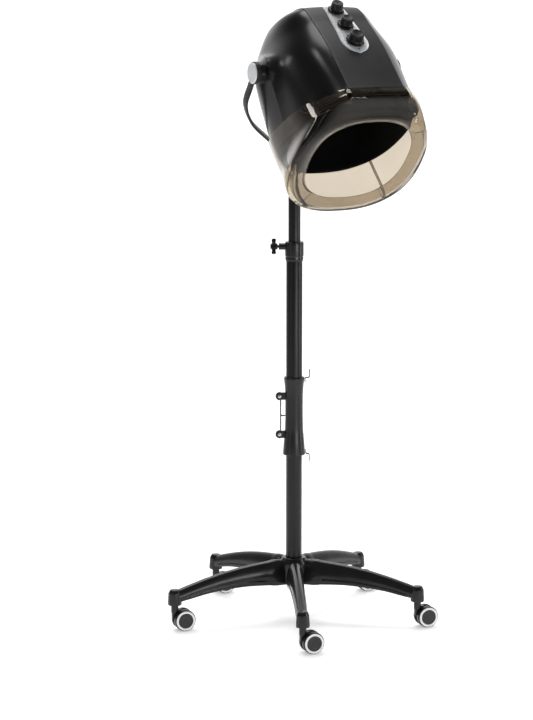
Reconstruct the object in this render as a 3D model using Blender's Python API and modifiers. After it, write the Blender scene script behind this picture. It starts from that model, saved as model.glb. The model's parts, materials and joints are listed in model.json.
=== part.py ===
"""Salon hood hair dryer on a five-star rolling stand.

Metres, +Z up, front of the hood towards -Y. The floor is z = 0. The hood's pieces are drawn upright
around their pivot axis and hang under an empty that tilts them about X. Each caster hangs under an
empty on its stem's axis.
"""
import math

import bmesh
import bpy
from mathutils import Matrix, Vector

# ---- placing
OBJECT = "hood_hair_dryer"
GAP = 0.0003                    # air left between pieces that rest on or pass through each other
COLUMN_X, COLUMN_Y = 0.006, 0.067
HOOD_TILT = math.radians(25.7)  # lean of the hood's axis, opening turned to the front
PIVOT_Y, PIVOT_Z = COLUMN_Y - 0.185, 1.593
SLEEVE_ANGLE = math.radians(-26.0)      # plan direction of the cord hooks; the lugs are opposite

# ---- star base and casters
STAR_ARMS = 5
STAR_ANGLE = math.radians(-112.8)
STEM_CIRCLE = 0.366
HUB_RADIUS, HUB_BOTTOM, HUB_TOP = 0.0415, 0.107, 0.185
BOLT_HEAD_RECESS, BOLT_HEAD_BORE = 0.0020, 0.0105
SOCKET_RADIUS, SOCKET_BOTTOM, SOCKET_TOP = 0.0203, 0.0760, 0.1215
STEM_RADIUS = 0.0055
CASTER_TRAIL, CASTER_ANGLE = 0.0266, math.radians(-6.0)
WHEEL_RADIUS, WHEEL_WIDTH, WHEEL_INSET = 0.0310, 0.0165, 0.0070
AXLE_RADIUS = 0.0030

# ---- column
LOWER_RADIUS, UPPER_RADIUS, TUBE_WALL = 0.0230, 0.0172, 0.0015
LOWER_BOTTOM, LOWER_TOP = 0.1123, 1.0800
UPPER_BOTTOM, UPPER_TOP = 0.7300, 1.3150
COLLAR_BOTTOM, COLLAR_TOP, COLLAR_RADIUS = 1.0480, 1.1030, 0.0266
CLAMP_HEIGHT = 1.0890
SLEEVE_BOTTOM, SLEEVE_TOP = 0.4870, 0.7136

# ---- yoke
YOKE_FOOT_Y, YOKE_FOOT_Z = COLUMN_Y + 0.010, 1.352
YOKE_HALF_WIDTH = 0.2140
YOKE_THICK, YOKE_WIDE = 0.0085, 0.0240
EYE_RADIUS, EYE_THICK = 0.0310, 0.0120
BOLT_RADIUS = 0.0050

# ---- hood, measured from the pivot axis: half width, reach to the front, reach to the back
SHELL_BASE, SHELL_TOP = -0.1540, 0.1673
SHELL_PROFILE = [               # height along the hood's axis, half width, front, back
    (-0.1540, 0.1690, 0.2690, 0.2155),
    (-0.0190, 0.1755, 0.2110, 0.2120),
    (0.0770, 0.1520, 0.1620, 0.2010),
    (0.1350, 0.1300, 0.1260, 0.1400),
    (0.1592, 0.0900, 0.0780, 0.0780),
    (SHELL_TOP, 0.0, 0.0, 0.0),
]
VISOR_PROFILE = [               # share of the way down the visor, half width, front, back
    (0.00, 0.1690, 0.2690, 0.2155),
    (0.45, 0.1720, 0.2790, 0.1700),
    (0.88, 0.1900, 0.2430, 0.1120),
    (1.00, 0.1930, 0.2290, 0.0930),
]
RIM_PROFILE = (0.1475, 0.2107, 0.0560)
RIM_DEPTH, RIM_SLOPE = 0.3287, 0.4321   # rim plane: height = -depth + slope * reach to the front
SECTION_POWER = 2.42                    # roundness of every cross-section, 2 is an ellipse
SHELL_EDGE, BAND_EDGE = -0.2000, -0.1800    # lower edges, inside the visor
SHELL_WALL = 0.0030
BAND_HALF_WIDTH = 0.0834
BAND_RAISE, BAND_CROWN = 0.0025, 0.0035 # how far the band stands out, and its bulge across
VISOR_CLEAR, VISOR_WALL = 0.0200, 0.0150    # shares of the section's size
DRUM_PROFILE = [                # height, half width, front, back of the inner drum
    (-0.2240, 0.1640, 0.2380, 0.1640),
    (-0.1500, 0.1520, 0.2220, 0.1760),
    (-0.0600, 0.1440, 0.1850, 0.1750),
    (-0.0050, 0.1180, 0.1450, 0.1450),
    (0.0180, 0.0800, 0.0900, 0.0950),
    (0.0200, 0.0420, 0.0420, 0.0420),
]
DRUM_EDGE_SLOPE = 0.075
DRUM_WALL = 0.0025
HOOD_SEGMENTS = 40
VISOR_SEGMENTS = 48
VISOR_FLAT = 1.09                       # width of the visor's flat front over the band's
RING_HEIGHTS = [-0.095, -0.040, 0.012, 0.060, 0.100, 0.130, 0.150, 0.162]

# ---- controls on the band, along the front
KNOBS = [                       # name, height, skirt radius, cap radius, cap height
    ("timer_knob", 0.0010, 0.0258, 0.0205, 0.026),
    ("temperature_knob", 0.0600, 0.0232, 0.0170, 0.026),
    ("speed_knob", 0.1175, 0.0232, 0.0175, 0.026),
]
CONTROL_BODIES = ["timer_body", "thermostat_body", "speed_switch_body"]
PLATE_HALF_WIDTH, PLATE_TIP, PLATE_TOP = 0.0400, -0.0395, 0.1400
PLATE_POINT, PLATE_NARROWING = 1.08, 0.72       # reach of the tip in radii, width left at the top
LENS_HEIGHT, LENS_RADIUS = -0.0270, 0.0028
GRILLE_LOW, GRILLE_HIGH = -0.0290, 0.0570

FINISHES = {                    # base colour, roughness, metallic, alpha
    "black_nylon": ((0.018, 0.018, 0.019), 0.30, 0.0, 1.0),
    "black_paint": ((0.020, 0.020, 0.021), 0.38, 0.0, 1.0),
    "gloss_black": ((0.012, 0.012, 0.013), 0.18, 0.0, 1.0),
    "satin_black": ((0.045, 0.045, 0.047), 0.42, 0.0, 1.0),
    "matte_black": ((0.010, 0.010, 0.010), 0.75, 0.0, 1.0),
    "tread": ((0.015, 0.015, 0.016), 0.50, 0.0, 1.0),
    "silver_plastic": ((0.62, 0.63, 0.64), 0.32, 0.3, 1.0),
    "steel": ((0.55, 0.55, 0.56), 0.30, 1.0, 1.0),
    "smoked_clear": ((0.42, 0.35, 0.27), 0.06, 0.0, 0.35),
    "lens_blue": ((0.05, 0.20, 0.60), 0.15, 0.0, 1.0),
    "mica": ((0.55, 0.48, 0.36), 0.60, 0.0, 1.0),
    "heating_wire": ((0.45, 0.42, 0.40), 0.40, 1.0, 1.0),
}


# ---------------------------------------------------------------- scene and small helpers
def clear_scene():
    for obj in list(bpy.data.objects):
        bpy.data.objects.remove(obj, do_unlink=True)
    for group in list(bpy.data.collections):
        bpy.data.collections.remove(group)


def new_collection(name):
    group = bpy.data.collections.new(name)
    bpy.context.scene.collection.children.link(group)
    return group


def new_material(node, finish):
    colour, roughness, metallic, alpha = FINISHES[finish]
    mat = bpy.data.materials.new(node)
    mat.use_nodes = True
    shader = mat.node_tree.nodes["Principled BSDF"]
    shader.inputs["Base Color"].default_value = (*colour, 1.0)
    shader.inputs["Roughness"].default_value = roughness
    shader.inputs["Metallic"].default_value = metallic
    shader.inputs["Alpha"].default_value = alpha
    mat.diffuse_color = (*colour, alpha)
    return mat


def new_empty(name, matrix):
    empty = bpy.data.objects.new(name, None)
    empty.matrix_world = matrix
    PARTS.objects.link(empty)
    return empty


def new_object(name, bm, finish, parent=None, sharp=35.0, matrix=None):
    """Turn a bmesh into a named part with its own material."""
    bmesh.ops.remove_doubles(bm, verts=bm.verts, dist=1e-6)
    bmesh.ops.recalc_face_normals(bm, faces=bm.faces)
    mesh = bpy.data.meshes.new(name)
    bm.to_mesh(mesh)
    bm.free()
    mesh.shade_smooth()
    mesh.set_sharp_from_angle(angle=math.radians(sharp))
    mesh.materials.append(new_material(name, finish))
    obj = bpy.data.objects.new(name, mesh)
    PARTS.objects.link(obj)
    if parent:
        obj.parent = parent
    if matrix:
        obj.matrix_basis = matrix
    return obj


def new_tool(name, bm, like):
    """A closed solid that only joins or cuts, in the frame of the part it works on."""
    bmesh.ops.recalc_face_normals(bm, faces=bm.faces)
    mesh = bpy.data.meshes.new(name)
    bm.to_mesh(mesh)
    bm.free()
    obj = bpy.data.objects.new(name, mesh)
    CUTTERS.objects.link(obj)
    obj.parent = like.parent
    obj.matrix_basis = like.matrix_basis
    obj.hide_render = True
    obj.display_type = "WIRE"
    return obj


def combine(part, bm, operation):
    """Add a Boolean of the solid in bm, given in the part's own frame."""
    tool = new_tool(f"{part.name}_{operation.lower()}_{len(part.modifiers)}", bm, part)
    modifier = part.modifiers.new(operation.lower(), "BOOLEAN")
    modifier.operation = operation
    modifier.solver = "EXACT"
    modifier.object = tool


def along(axis, origin=(0, 0, 0)):
    """Matrix that turns local Z to the given axis at the given origin."""
    turn = Vector((0, 0, 1)).rotation_difference(Vector(axis)).to_matrix().to_4x4()
    return Matrix.Translation(origin) @ turn


def add_cylinder(bm, radius, low, high, matrix=Matrix(), radius_high=None, segments=24):
    """Cylinder or cone between two heights on its local Z axis."""
    top = radius if radius_high is None else radius_high
    bmesh.ops.create_cone(bm, cap_ends=True, segments=segments, radius1=radius, radius2=top,
                          depth=high - low, matrix=matrix @ Matrix.Translation((0, 0, (low + high) / 2)))


def add_box(bm, low, high, matrix=Matrix()):
    size = Vector(high) - Vector(low)
    centre = (Vector(high) + Vector(low)) / 2
    place = matrix @ Matrix.Translation(centre) @ Matrix.Diagonal((*size, 1))
    bmesh.ops.create_cube(bm, size=1.0, matrix=place)


def cylinder(radius, low, high, **options):
    bm = bmesh.new()
    add_cylinder(bm, radius, low, high, **options)
    return bm


def box(low, high, **options):
    bm = bmesh.new()
    add_box(bm, low, high, **options)
    return bm


def as_bmesh(obj):
    """Bmesh of an object as its modifiers leave it; the object is removed."""
    bpy.context.scene.collection.objects.link(obj)
    bpy.context.view_layer.update()
    mesh = bpy.data.meshes.new_from_object(obj.evaluated_get(bpy.context.evaluated_depsgraph_get()))
    bm = bmesh.new()
    bm.from_mesh(mesh)
    bpy.data.objects.remove(obj, do_unlink=True)
    bpy.data.meshes.remove(mesh)
    bmesh.ops.remove_doubles(bm, verts=bm.verts, dist=1e-6)
    return bm


def turned(points, steps=32, matrix=Matrix()):
    """Solid of revolution round local Z from (radius, height) points, by a Screw modifier.

    A profile that starts and ends on the axis gives a solid; any other profile is a closed loop and
    gives a ring.
    """
    count = len(points)
    solid = points[0][0] == 0 and points[-1][0] == 0
    mesh = bpy.data.meshes.new("profile")
    edges = [(step, (step + 1) % count) for step in range(count - solid)]
    mesh.from_pydata([(radius, 0, height) for radius, height in points], edges, [])
    profile = bpy.data.objects.new("profile", mesh)
    screw = profile.modifiers.new("turn", "SCREW")
    screw.steps = screw.render_steps = steps
    screw.use_merge_vertices = True
    screw.merge_threshold = 1e-6
    bm = as_bmesh(profile)
    bmesh.ops.recalc_face_normals(bm, faces=bm.faces)
    bm.transform(matrix)
    return bm


def bridge(bm, first, second):
    """Faces between two closed rings; a ring of one point is a pole."""
    count = max(len(first), len(second))
    for step in range(count):
        following = (step + 1) % count
        corners = [first[step % len(first)], first[following % len(first)],
                   second[following % len(second)], second[step % len(second)]]
        unique = [corner for index, corner in enumerate(corners) if corner not in corners[:index]]
        if len(unique) > 2:
            bm.faces.new(unique)


def loft(rings, closed=False):
    """Closed solid through rings of points: capped at its ends, or closed on itself."""
    bm = bmesh.new()
    loops = [[bm.verts.new(point) for point in ring] for ring in rings]
    for first, second in zip(loops, loops[1:]):
        bridge(bm, first, second)
    if closed:
        bridge(bm, loops[-1], loops[0])
    else:
        for loop in (loops[0], loops[-1]):
            if len(loop) > 2:
                bm.faces.new(loop)
    return bm


def prism(outline, low, high, matrix=Matrix()):
    """Flat outline in local XY, filled and extruded between two heights."""
    curve = bpy.data.curves.new("outline", "CURVE")
    curve.dimensions = "2D"
    curve.fill_mode = "BOTH"
    curve.extrude = (high - low) / 2
    spline = curve.splines.new("POLY")
    spline.points.add(len(outline) - 1)
    for point, (x, y) in zip(spline.points, outline):
        point.co = (x, y, 0, 1)
    spline.use_cyclic_u = True
    bm = as_bmesh(bpy.data.objects.new("outline", curve))
    bm.transform(matrix @ Matrix.Translation((0, 0, (low + high) / 2)))
    return bm


def curve_through(points, steps):
    """Points of a smooth curve through the given ones (Catmull-Rom)."""
    ends = [2 * points[0] - points[1], *points, 2 * points[-1] - points[-2]]
    result = []
    for index in range(1, len(ends) - 2):
        a, b, c, d = ends[index - 1:index + 3]
        for step in range(steps):
            t = step / steps
            result.append(0.5 * (2 * b + (c - a) * t + (2 * a - 5 * b + 4 * c - d) * t ** 2
                                 + (3 * b - a - 3 * c + d) * t ** 3))
    return result + [points[-1]]


def blend_table(table, place):
    """Values of a table at a place between its rows, on a curve that doesn't overshoot them."""
    places = [row[0] for row in table]
    place = min(max(place, places[0]), places[-1])
    index = max(i for i in range(len(places) - 1) if places[i] <= place)
    step = places[index + 1] - places[index]
    share = (place - places[index]) / step
    values = []
    for column in range(1, len(table[0])):
        slopes = [(after[column] - before[column]) / (after[0] - before[0])
                  for before, after in zip(table, table[1:])]

        def tangent(row):
            if row in (0, len(places) - 1):
                return slopes[min(row, len(slopes) - 1)]
            before, after = slopes[row - 1], slopes[row]
            return 0.0 if before * after <= 0 else 2 * before * after / (before + after)

        start, end = table[index][column], table[index + 1][column]
        values.append(start * (1 + 2 * share) * (1 - share) ** 2 + end * share ** 2 * (3 - 2 * share)
                      + step * (tangent(index) * share * (1 - share) ** 2
                                - tangent(index + 1) * share ** 2 * (1 - share)))
    return values


# ---------------------------------------------------------------- base and casters
def build_base():
    root = new_empty("star_centre", Matrix.Translation((COLUMN_X, COLUMN_Y, 0)))
    bore = LOWER_RADIUS + GAP
    recess = HUB_BOTTOM + BOLT_HEAD_RECESS
    hub = [(BOLT_HEAD_BORE, HUB_BOTTOM), (HUB_RADIUS * 0.92, HUB_BOTTOM), (HUB_RADIUS, HUB_BOTTOM + 0.006),
           (HUB_RADIUS, HUB_TOP - 0.016), (HUB_RADIUS * 0.80, HUB_TOP), (bore, HUB_TOP),
           (bore, LOWER_BOTTOM - GAP), (BOLT_RADIUS + GAP, LOWER_BOTTOM - GAP), (BOLT_RADIUS + GAP, recess),
           (BOLT_HEAD_BORE, recess)]
    base = new_object("star_base", turned(hub, 28), "black_nylon", root)
    stations = [                # reach, top, bottom, half width
        (0.030, 0.1740, 0.1110, 0.0200), (0.060, 0.1790, 0.1100, 0.0235), (0.078, 0.1775, 0.1110, 0.0225),
        (0.150, 0.1695, 0.1130, 0.0203), (0.210, 0.1595, 0.1100, 0.0188), (0.270, 0.1455, 0.1030, 0.0178),
        (0.320, 0.1310, 0.0930, 0.0170), (STEM_CIRCLE - 0.010, 0.1195, 0.0860, 0.0165)]
    outline = [(0.0, 1.0), (0.48, 0.93), (0.86, 0.68), (1.0, 0.36), (0.80, 0.0)]
    section = outline + [(-side, height) for side, height in reversed(outline[1:])]
    for arm in range(STAR_ARMS):
        turn = Matrix.Rotation(STAR_ANGLE + arm * 2 * math.pi / STAR_ARMS, 4, "Z")
        rings = [[turn @ Vector((reach, side * half, bottom + height * (top - bottom)))
                  for side, height in section] for reach, top, bottom, half in stations]
        combine(base, loft(rings), "UNION")
        place = turn @ Matrix.Translation((STEM_CIRCLE, 0, 0))
        socket = turned([(STEM_RADIUS + GAP, SOCKET_BOTTOM), (SOCKET_RADIUS, SOCKET_BOTTOM),
                         (SOCKET_RADIUS * 0.90, SOCKET_TOP - 0.006), (SOCKET_RADIUS * 0.64, SOCKET_TOP),
                         (STEM_RADIUS + GAP, SOCKET_TOP)], 16, place)
        combine(base, socket, "UNION")
        combine(base, cylinder(STEM_RADIUS + GAP, SOCKET_BOTTOM - 0.01, SOCKET_TOP - 0.006, segments=12,
                               matrix=place), "DIFFERENCE")
    plug_low = LOWER_BOTTOM + 0.001
    plug = tube(LOWER_RADIUS - TUBE_WALL - GAP, BOLT_RADIUS + GAP, plug_low, plug_low + 0.018)
    new_object("tube_plug", plug, "black_paint", root)
    seat = recess - GAP
    bolt = turned([(0, seat - 0.0080), (0.0095, seat - 0.0080), (0.0095, seat), (BOLT_RADIUS, seat),
                   (BOLT_RADIUS, plug_low + 0.024), (0, plug_low + 0.024)], 16)
    new_object("column_bolt", bolt, "steel", root)
    return root


def build_caster(number, root):
    angle = STAR_ANGLE + (number - 1) * 2 * math.pi / STAR_ARMS
    stem = new_empty(f"caster_{number}_stem", root.matrix_world @ Matrix.Translation(
        (STEM_CIRCLE * math.cos(angle), STEM_CIRCLE * math.sin(angle), 0))
        @ Matrix.Rotation(CASTER_ANGLE, 4, "Z"))
    housing = turned([(0, 0.0560), (0.0105, 0.0560), (0.0105, SOCKET_BOTTOM - GAP),
                      (STEM_RADIUS, SOCKET_BOTTOM - GAP), (STEM_RADIUS, SOCKET_TOP - 0.016),
                      (0, SOCKET_TOP - 0.016)], 12)
    part = new_object(f"caster_{number}_housing", housing, "black_nylon", stem)
    across = along((0, 1, 0), (CASTER_TRAIL, 0, WHEEL_RADIUS))
    half = WHEEL_INSET - 2 * GAP
    combine(part, cylinder(WHEEL_RADIUS - 0.003, -half, half, matrix=across, segments=14), "UNION")
    combine(part, box((-0.0085, GAP - half, 0.036), (0.020, half - GAP, 0.062)), "UNION")
    axle_half = WHEEL_INSET + 0.0120
    combine(part, cylinder(AXLE_RADIUS, -axle_half, axle_half, matrix=across, segments=10), "UNION")
    bore = AXLE_RADIUS + GAP
    profile = [(0, WHEEL_WIDTH), (0.0255, WHEEL_WIDTH - 0.0008), (0.0290, WHEEL_WIDTH - 0.0030),
               (WHEEL_RADIUS, WHEEL_WIDTH - 0.0065), (WHEEL_RADIUS, 0.0), (bore, 0.0), (bore, 0.0128),
               (0, 0.0128)]
    for side, direction in (("left", 1), ("right", -1)):
        hub = along((0, direction, 0), (CASTER_TRAIL, direction * WHEEL_INSET, WHEEL_RADIUS))
        new_object(f"caster_{number}_wheel_{side}", turned(profile, 16), "tread", stem, matrix=hub)


# ---------------------------------------------------------------- column
def tube(outer, inner, low, high, steps=24):
    return turned([(inner, low), (outer, low), (outer, high), (inner, high)], steps)


def build_column(root):
    new_object("lower_tube", tube(LOWER_RADIUS, LOWER_RADIUS - TUBE_WALL, LOWER_BOTTOM, LOWER_TOP),
               "black_paint", root)
    new_object("upper_tube", tube(UPPER_RADIUS, UPPER_RADIUS - TUBE_WALL, UPPER_BOTTOM, UPPER_TOP),
               "black_paint", root)
    new_object("guide_bush", tube(LOWER_RADIUS - TUBE_WALL - GAP, UPPER_RADIUS + GAP, 0.7350, 0.7650),
               "satin_black", root)
    bore = LOWER_RADIUS + GAP
    guide = UPPER_RADIUS + GAP
    collar = [(bore, COLLAR_BOTTOM), (bore + 0.0012, COLLAR_BOTTOM), (COLLAR_RADIUS, COLLAR_BOTTOM + 0.014),
              (COLLAR_RADIUS, COLLAR_TOP - 0.003), (COLLAR_RADIUS - 0.003, COLLAR_TOP), (guide, COLLAR_TOP),
              (guide, LOWER_TOP + GAP), (bore, LOWER_TOP + GAP)]
    part = new_object("clamp_collar", turned(collar, 24), "black_nylon", root)
    side = along((-math.cos(SLEEVE_ANGLE), -math.sin(SLEEVE_ANGLE), 0), (0, 0, CLAMP_HEIGHT))
    combine(part, cylinder(0.0095, 0.0247, 0.0446, matrix=side, segments=16), "UNION")
    combine(part, cylinder(0.0043, 0.0100, 0.0500, matrix=side, segments=16), "DIFFERENCE")
    # The clamp screw stops short of the upper tube; its T grip stands outside the boss.
    shank = [(0, 0.0178), (0.0040, 0.0178), (0.0040, 0.0478), (0.0100, 0.0478), (0.0100, 0.0665),
             (0.0080, 0.0685), (0, 0.0685)]
    screw = new_object("height_screw", turned(shank, 16), "black_nylon", root, matrix=side)
    wing = bmesh.new()
    add_box(wing, (-0.0220, -0.0050, 0.0530), (0.0220, 0.0050, 0.0640))
    bmesh.ops.bevel(wing, geom=wing.edges[:], offset=0.0022, segments=2, affect="EDGES")
    combine(screw, wing, "UNION")
    build_grip(root)


def build_grip(root):
    """Moulded sleeve with lugs, its screws and tie rod, and the two cord hooks."""
    turn = Matrix.Rotation(SLEEVE_ANGLE, 4, "Z")
    bore = LOWER_RADIUS + GAP
    outer = [(0.0312, SLEEVE_BOTTOM), (0.0323, SLEEVE_BOTTOM + 0.003), (0.0300, 0.5200), (0.0264, 0.5600),
             (0.0254, 0.6000), (0.0254, 0.6600), (0.0268, 0.6850), (0.0296, SLEEVE_TOP - 0.003),
             (0.0286, SLEEVE_TOP)]
    profile = [(bore, SLEEVE_BOTTOM), *outer, (bore, SLEEVE_TOP)]
    sleeve = new_object("grip_sleeve", turned(profile, 24), "black_nylon", root, matrix=turn)
    lug_reach, lug_radius, lug_half = -0.0415, 0.0118, 0.0055
    for name, height in (("upper_lug_screw", 0.6572), ("lower_lug_screw", 0.5458)):
        across = along((0, 1, 0), (lug_reach, 0, height))
        combine(sleeve, cylinder(lug_radius, -lug_half, lug_half, matrix=across, segments=20), "UNION")
        web = box((lug_reach, -lug_half, height - 0.0105), (-bore - 0.0007, lug_half, height + 0.0105))
        combine(sleeve, web, "UNION")
        combine(sleeve, cylinder(0.0028, -0.02, 0.02, matrix=across, segments=12), "DIFFERENCE")
        head = lug_half + GAP
        pin = turned([(0, -lug_half - 0.0030), (0.0025, -lug_half - 0.0030), (0.0025, head), (0.0052, head),
                      (0.0048, head + 0.0028), (0, head + 0.0032)], 16)
        new_object(name, pin, "steel", root, matrix=turn @ along((0, -1, 0), (lug_reach, 0, height)))
    rod = turned([(0, 0.5579), (0.0019, 0.5579), (0.0019, 0.6451), (0, 0.6451)], 10,
                 Matrix.Translation((-0.0385, 0, 0)))
    part = new_object("tie_rod", rod, "black_paint", root, matrix=turn)
    combine(part, box((-0.0385, -0.0018, 0.5990), (-0.0258, 0.0018, 0.6026)), "UNION")
    reach, half, thick, tail = 0.0452, 0.0050, 0.0026, 0.0120
    edgewise = Matrix.Rotation(math.pi / 2, 4, "X")     # outline drawn as (reach, height)
    for name, height, rise, wall in (("upper_cord_hook", 0.7105, 0.0255, 0.0300),
                                     ("lower_cord_hook", 0.4905, -0.0240, 0.0327)):
        up = math.copysign(1, rise)
        outline = [(wall, height - up * tail), (wall + thick, height - up * tail), (wall + thick, height),
                   (reach - 0.0030, height), (reach, height + up * 0.0030), (reach, height + rise),
                   (reach - thick, height + rise), (reach - thick, height + up * (thick + 0.0020)),
                   (reach - thick - 0.0020, height + up * thick), (wall, height + up * thick)]
        new_object(name, prism(outline, -half, half, edgewise), "black_paint", root, matrix=turn)


# ---------------------------------------------------------------- yoke and pivots
def yoke_frame():
    """Frame in the yoke's plane: X along the pivot axis, Y down to the foot, Z out of the plane."""
    down = Vector((0, YOKE_FOOT_Y - PIVOT_Y, YOKE_FOOT_Z - PIVOT_Z))
    depth = down.length
    down.normalize()
    normal = Vector((1, 0, 0)).cross(down)
    frame = Matrix((Vector((1, 0, 0)), down, normal)).transposed().to_4x4()
    origin = Vector((COLUMN_X, PIVOT_Y, PIVOT_Z))
    return Matrix.Translation(origin) @ frame, depth


def build_yoke():
    frame, depth = yoke_frame()
    plane = new_empty("yoke_plane", frame)
    half = YOKE_HALF_WIDTH
    reach = [(half, 0.0), (half - 0.0015, 0.050), (half - 0.0065, 0.115), (half - 0.045, 0.182),
             (half - 0.105, 0.238), (half - 0.165, 0.288)]
    path = [Vector((x, y, 0)) for x, y in reach] + [Vector((0, depth, 0))]
    path += [Vector((-point.x, point.y, 0)) for point in reversed(path[:-1])]
    points = curve_through(path, 2)
    corner = 0.30
    section = [(-0.5, -0.5 + corner), (-0.5 + corner, -0.5), (0.5 - corner, -0.5), (0.5, -0.5 + corner),
               (0.5, 0.5 - corner), (0.5 - corner, 0.5), (-0.5 + corner, 0.5), (-0.5, 0.5 - corner)]
    rings = []
    for index, point in enumerate(points):
        ahead = points[min(index + 1, len(points) - 1)] - points[max(index - 1, 0)]
        inward = Vector((-ahead.y, ahead.x, 0)).normalized()
        rings.append([point + inward * (a * YOKE_THICK) + Vector((0, 0, b * YOKE_WIDE)) for a, b in section])
    yoke = new_object("yoke", loft(rings), "satin_black", plane, sharp=50)
    for side in (-1, 1):
        pivot = along((side, 0, 0))
        eye = cylinder(EYE_RADIUS, half - EYE_THICK / 2, half + EYE_THICK / 2, matrix=pivot, segments=24)
        combine(yoke, eye, "UNION")
    for side in (-1, 1):
        combine(yoke, cylinder(BOLT_RADIUS + GAP, half - 0.02, half + 0.02, matrix=along((side, 0, 0)),
                               segments=16), "DIFFERENCE")
    # The foot stands upright on the column, so it is drawn in world axes.
    upright = frame.inverted() @ Matrix.Translation((COLUMN_X, COLUMN_Y, 0))
    combine(yoke, cylinder(0.0190, 1.3300, YOKE_FOOT_Z + 0.002, matrix=upright, segments=24), "UNION")
    combine(yoke, cylinder(BOLT_RADIUS + GAP, 1.3200, 1.3440, matrix=upright, segments=16), "DIFFERENCE")
    return plane


def build_socket(root):
    """Cap that joins the upper tube to the yoke's foot, with its bolt."""
    bore = UPPER_RADIUS + GAP
    cap = [(BOLT_RADIUS + GAP, 1.3200), (bore, 1.3200), (bore, 1.2700), (0.0205, 1.2700), (0.0215, 1.2740),
           (0.0215, 1.3270), (0.0200, 1.3295), (BOLT_RADIUS + GAP, 1.3295)]
    new_object("yoke_socket", turned(list(reversed(cap)), 24), "black_nylon", root)
    bolt = [(0, 1.3100), (0.0090, 1.3100), (0.0090, 1.3197), (BOLT_RADIUS, 1.3197), (BOLT_RADIUS, 1.3420),
            (0, 1.3420)]
    new_object("yoke_bolt", turned(bolt, 16), "steel", root)


def build_pivots(plane, hood):
    outer = YOKE_HALF_WIDTH + EYE_THICK / 2
    inner = YOKE_HALF_WIDTH - EYE_THICK / 2
    for side, name in ((-1, "left"), (1, "right")):
        axis = along((side, 0, 0))
        cap = [(0, outer + GAP), (0.0288, outer + GAP), (0.0288, outer + 0.0022), (0.0268, outer + 0.0040),
               (0.0150, outer + 0.0052), (0, outer + 0.0056)]
        new_object(f"pivot_cap_{name}", turned(cap, 24), "silver_plastic", plane, matrix=axis)
        hub = [(BOLT_RADIUS + GAP, 0.160), (0.0300, 0.160), (0.0300, inner - GAP),
               (BOLT_RADIUS + GAP, inner - GAP)]
        part = new_object(f"pivot_hub_{name}", turned(hub, 24), "black_nylon", hood, matrix=axis)
        combine(part, hood_solid(0.002, 0.001, axis.inverted()), "DIFFERENCE")
        bolt = [(0, 0.1560), (0.0085, 0.1560), (0.0085, 0.1640), (BOLT_RADIUS, 0.1640),
                (BOLT_RADIUS, outer - 0.0005), (0, outer - 0.0005)]
        new_object(f"pivot_bolt_{name}", turned(bolt, 16), "steel", hood, matrix=axis)


# ---------------------------------------------------------------- hood surface
def section_point(turn, values, scale):
    """Point of a rounded cross-section: half width, front and back reach, grown by a share."""
    half_width, front, back = values
    power = 2 / SECTION_POWER
    c, s = math.cos(turn), math.sin(turn)
    middle, half = (front - back) / 2, (front + back) / 2
    x = scale * half_width * math.copysign(abs(c) ** power, c)
    reach = middle + scale * half * math.copysign(abs(s) ** power, s)
    return x, reach


def shell_point(turn, height, scale=1.0, lift=0.0):
    """Point of the hood at a height at or above the visor's upper edge."""
    x, reach = section_point(turn, blend_table(SHELL_PROFILE, height), scale)
    share = (height - SHELL_BASE) / (SHELL_TOP - SHELL_BASE)
    return Vector((x, -reach, height + lift * max(share, 0.0)))


def visor_point(turn, share, scale=1.0):
    """Point of the hood below the visor's upper edge, share 0 at the edge and 1 at the rim plane.

    Over the band the section is flat at the upper edge and rounds out towards the rim.
    """
    values = blend_table(VISOR_PROFILE, share)
    x, reach = section_point(turn, values, scale)
    if abs(x) < VISOR_FLAT * BAND_HALF_WIDTH * scale:
        back = reach < (values[1] - values[2]) / 2
        middle = (values[1] - values[2]) / 2
        flat = middle + scale * (side_reach(values, BAND_HALF_WIDTH, back) - middle)
        bulge = BAND_CROWN * (1 - (x / (BAND_HALF_WIDTH * scale)) ** 2)
        flat += -bulge if back else bulge
        reach += (flat - reach) * (1 - max((share - 0.4) / 0.6, 0.0) ** 1.5)
    rim = -RIM_DEPTH + RIM_SLOPE * reach
    return Vector((x, -reach, (1 - share) * SHELL_BASE + share * rim))


def share_at(turn, height, scale=1.0):
    """Share down the visor at which its surface reaches a height."""
    low, high = 0.0, 1.0
    for _ in range(24):
        middle = (low + high) / 2
        low, high = (middle, high) if visor_point(turn, middle, scale).z > height else (low, middle)
    return low


def turns(count=HOOD_SEGMENTS):
    return [2 * math.pi * (step + 0.5) / count for step in range(count)]


def hood_rings(edge, scale, lift):
    """Rings of the hood's surface from a flat lower edge up to the last ring below the pole."""
    rings = []
    for part in (1.0, 0.0):
        rings.append([visor_point(turn, part * share_at(turn, edge, scale), scale) for turn in turns()])
    for height in RING_HEIGHTS:
        rings.append([shell_point(turn, height, scale, lift) for turn in turns()])
    return rings


def hood_solid(grow, lift, matrix):
    """The hood's full volume with a flat underside, grown by a share."""
    rings = hood_rings(SHELL_EDGE - 0.004, 1 + grow, lift)
    rings.append([Vector((0, 0, SHELL_TOP + lift))])
    return loft([[matrix @ point for point in ring] for ring in rings])


def hood_wall(wall):
    """The hood's wall as a closed bowl: outer skin, lower edge and inner skin."""
    outer = hood_rings(SHELL_EDGE, 1.0, 0.0)
    inner = hood_rings(SHELL_EDGE, 1 - wall / 0.170, -wall)
    rings = [[Vector((0, 0, SHELL_TOP))]] + outer[::-1] + inner
    rings.append([Vector((0, 0, SHELL_TOP - wall))])
    return loft(rings)


def side_reach(values, x, back):
    """Reach of a cross-section at a sideways place, to the front or to the back."""
    half_width, front, rear = values
    rest = max(1 - (abs(x) / half_width) ** SECTION_POWER, 0.0)
    part = (front + rear) / 2 * rest ** (1 / SECTION_POWER)
    return (front - rear) / 2 + (-part if back else part)


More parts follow.
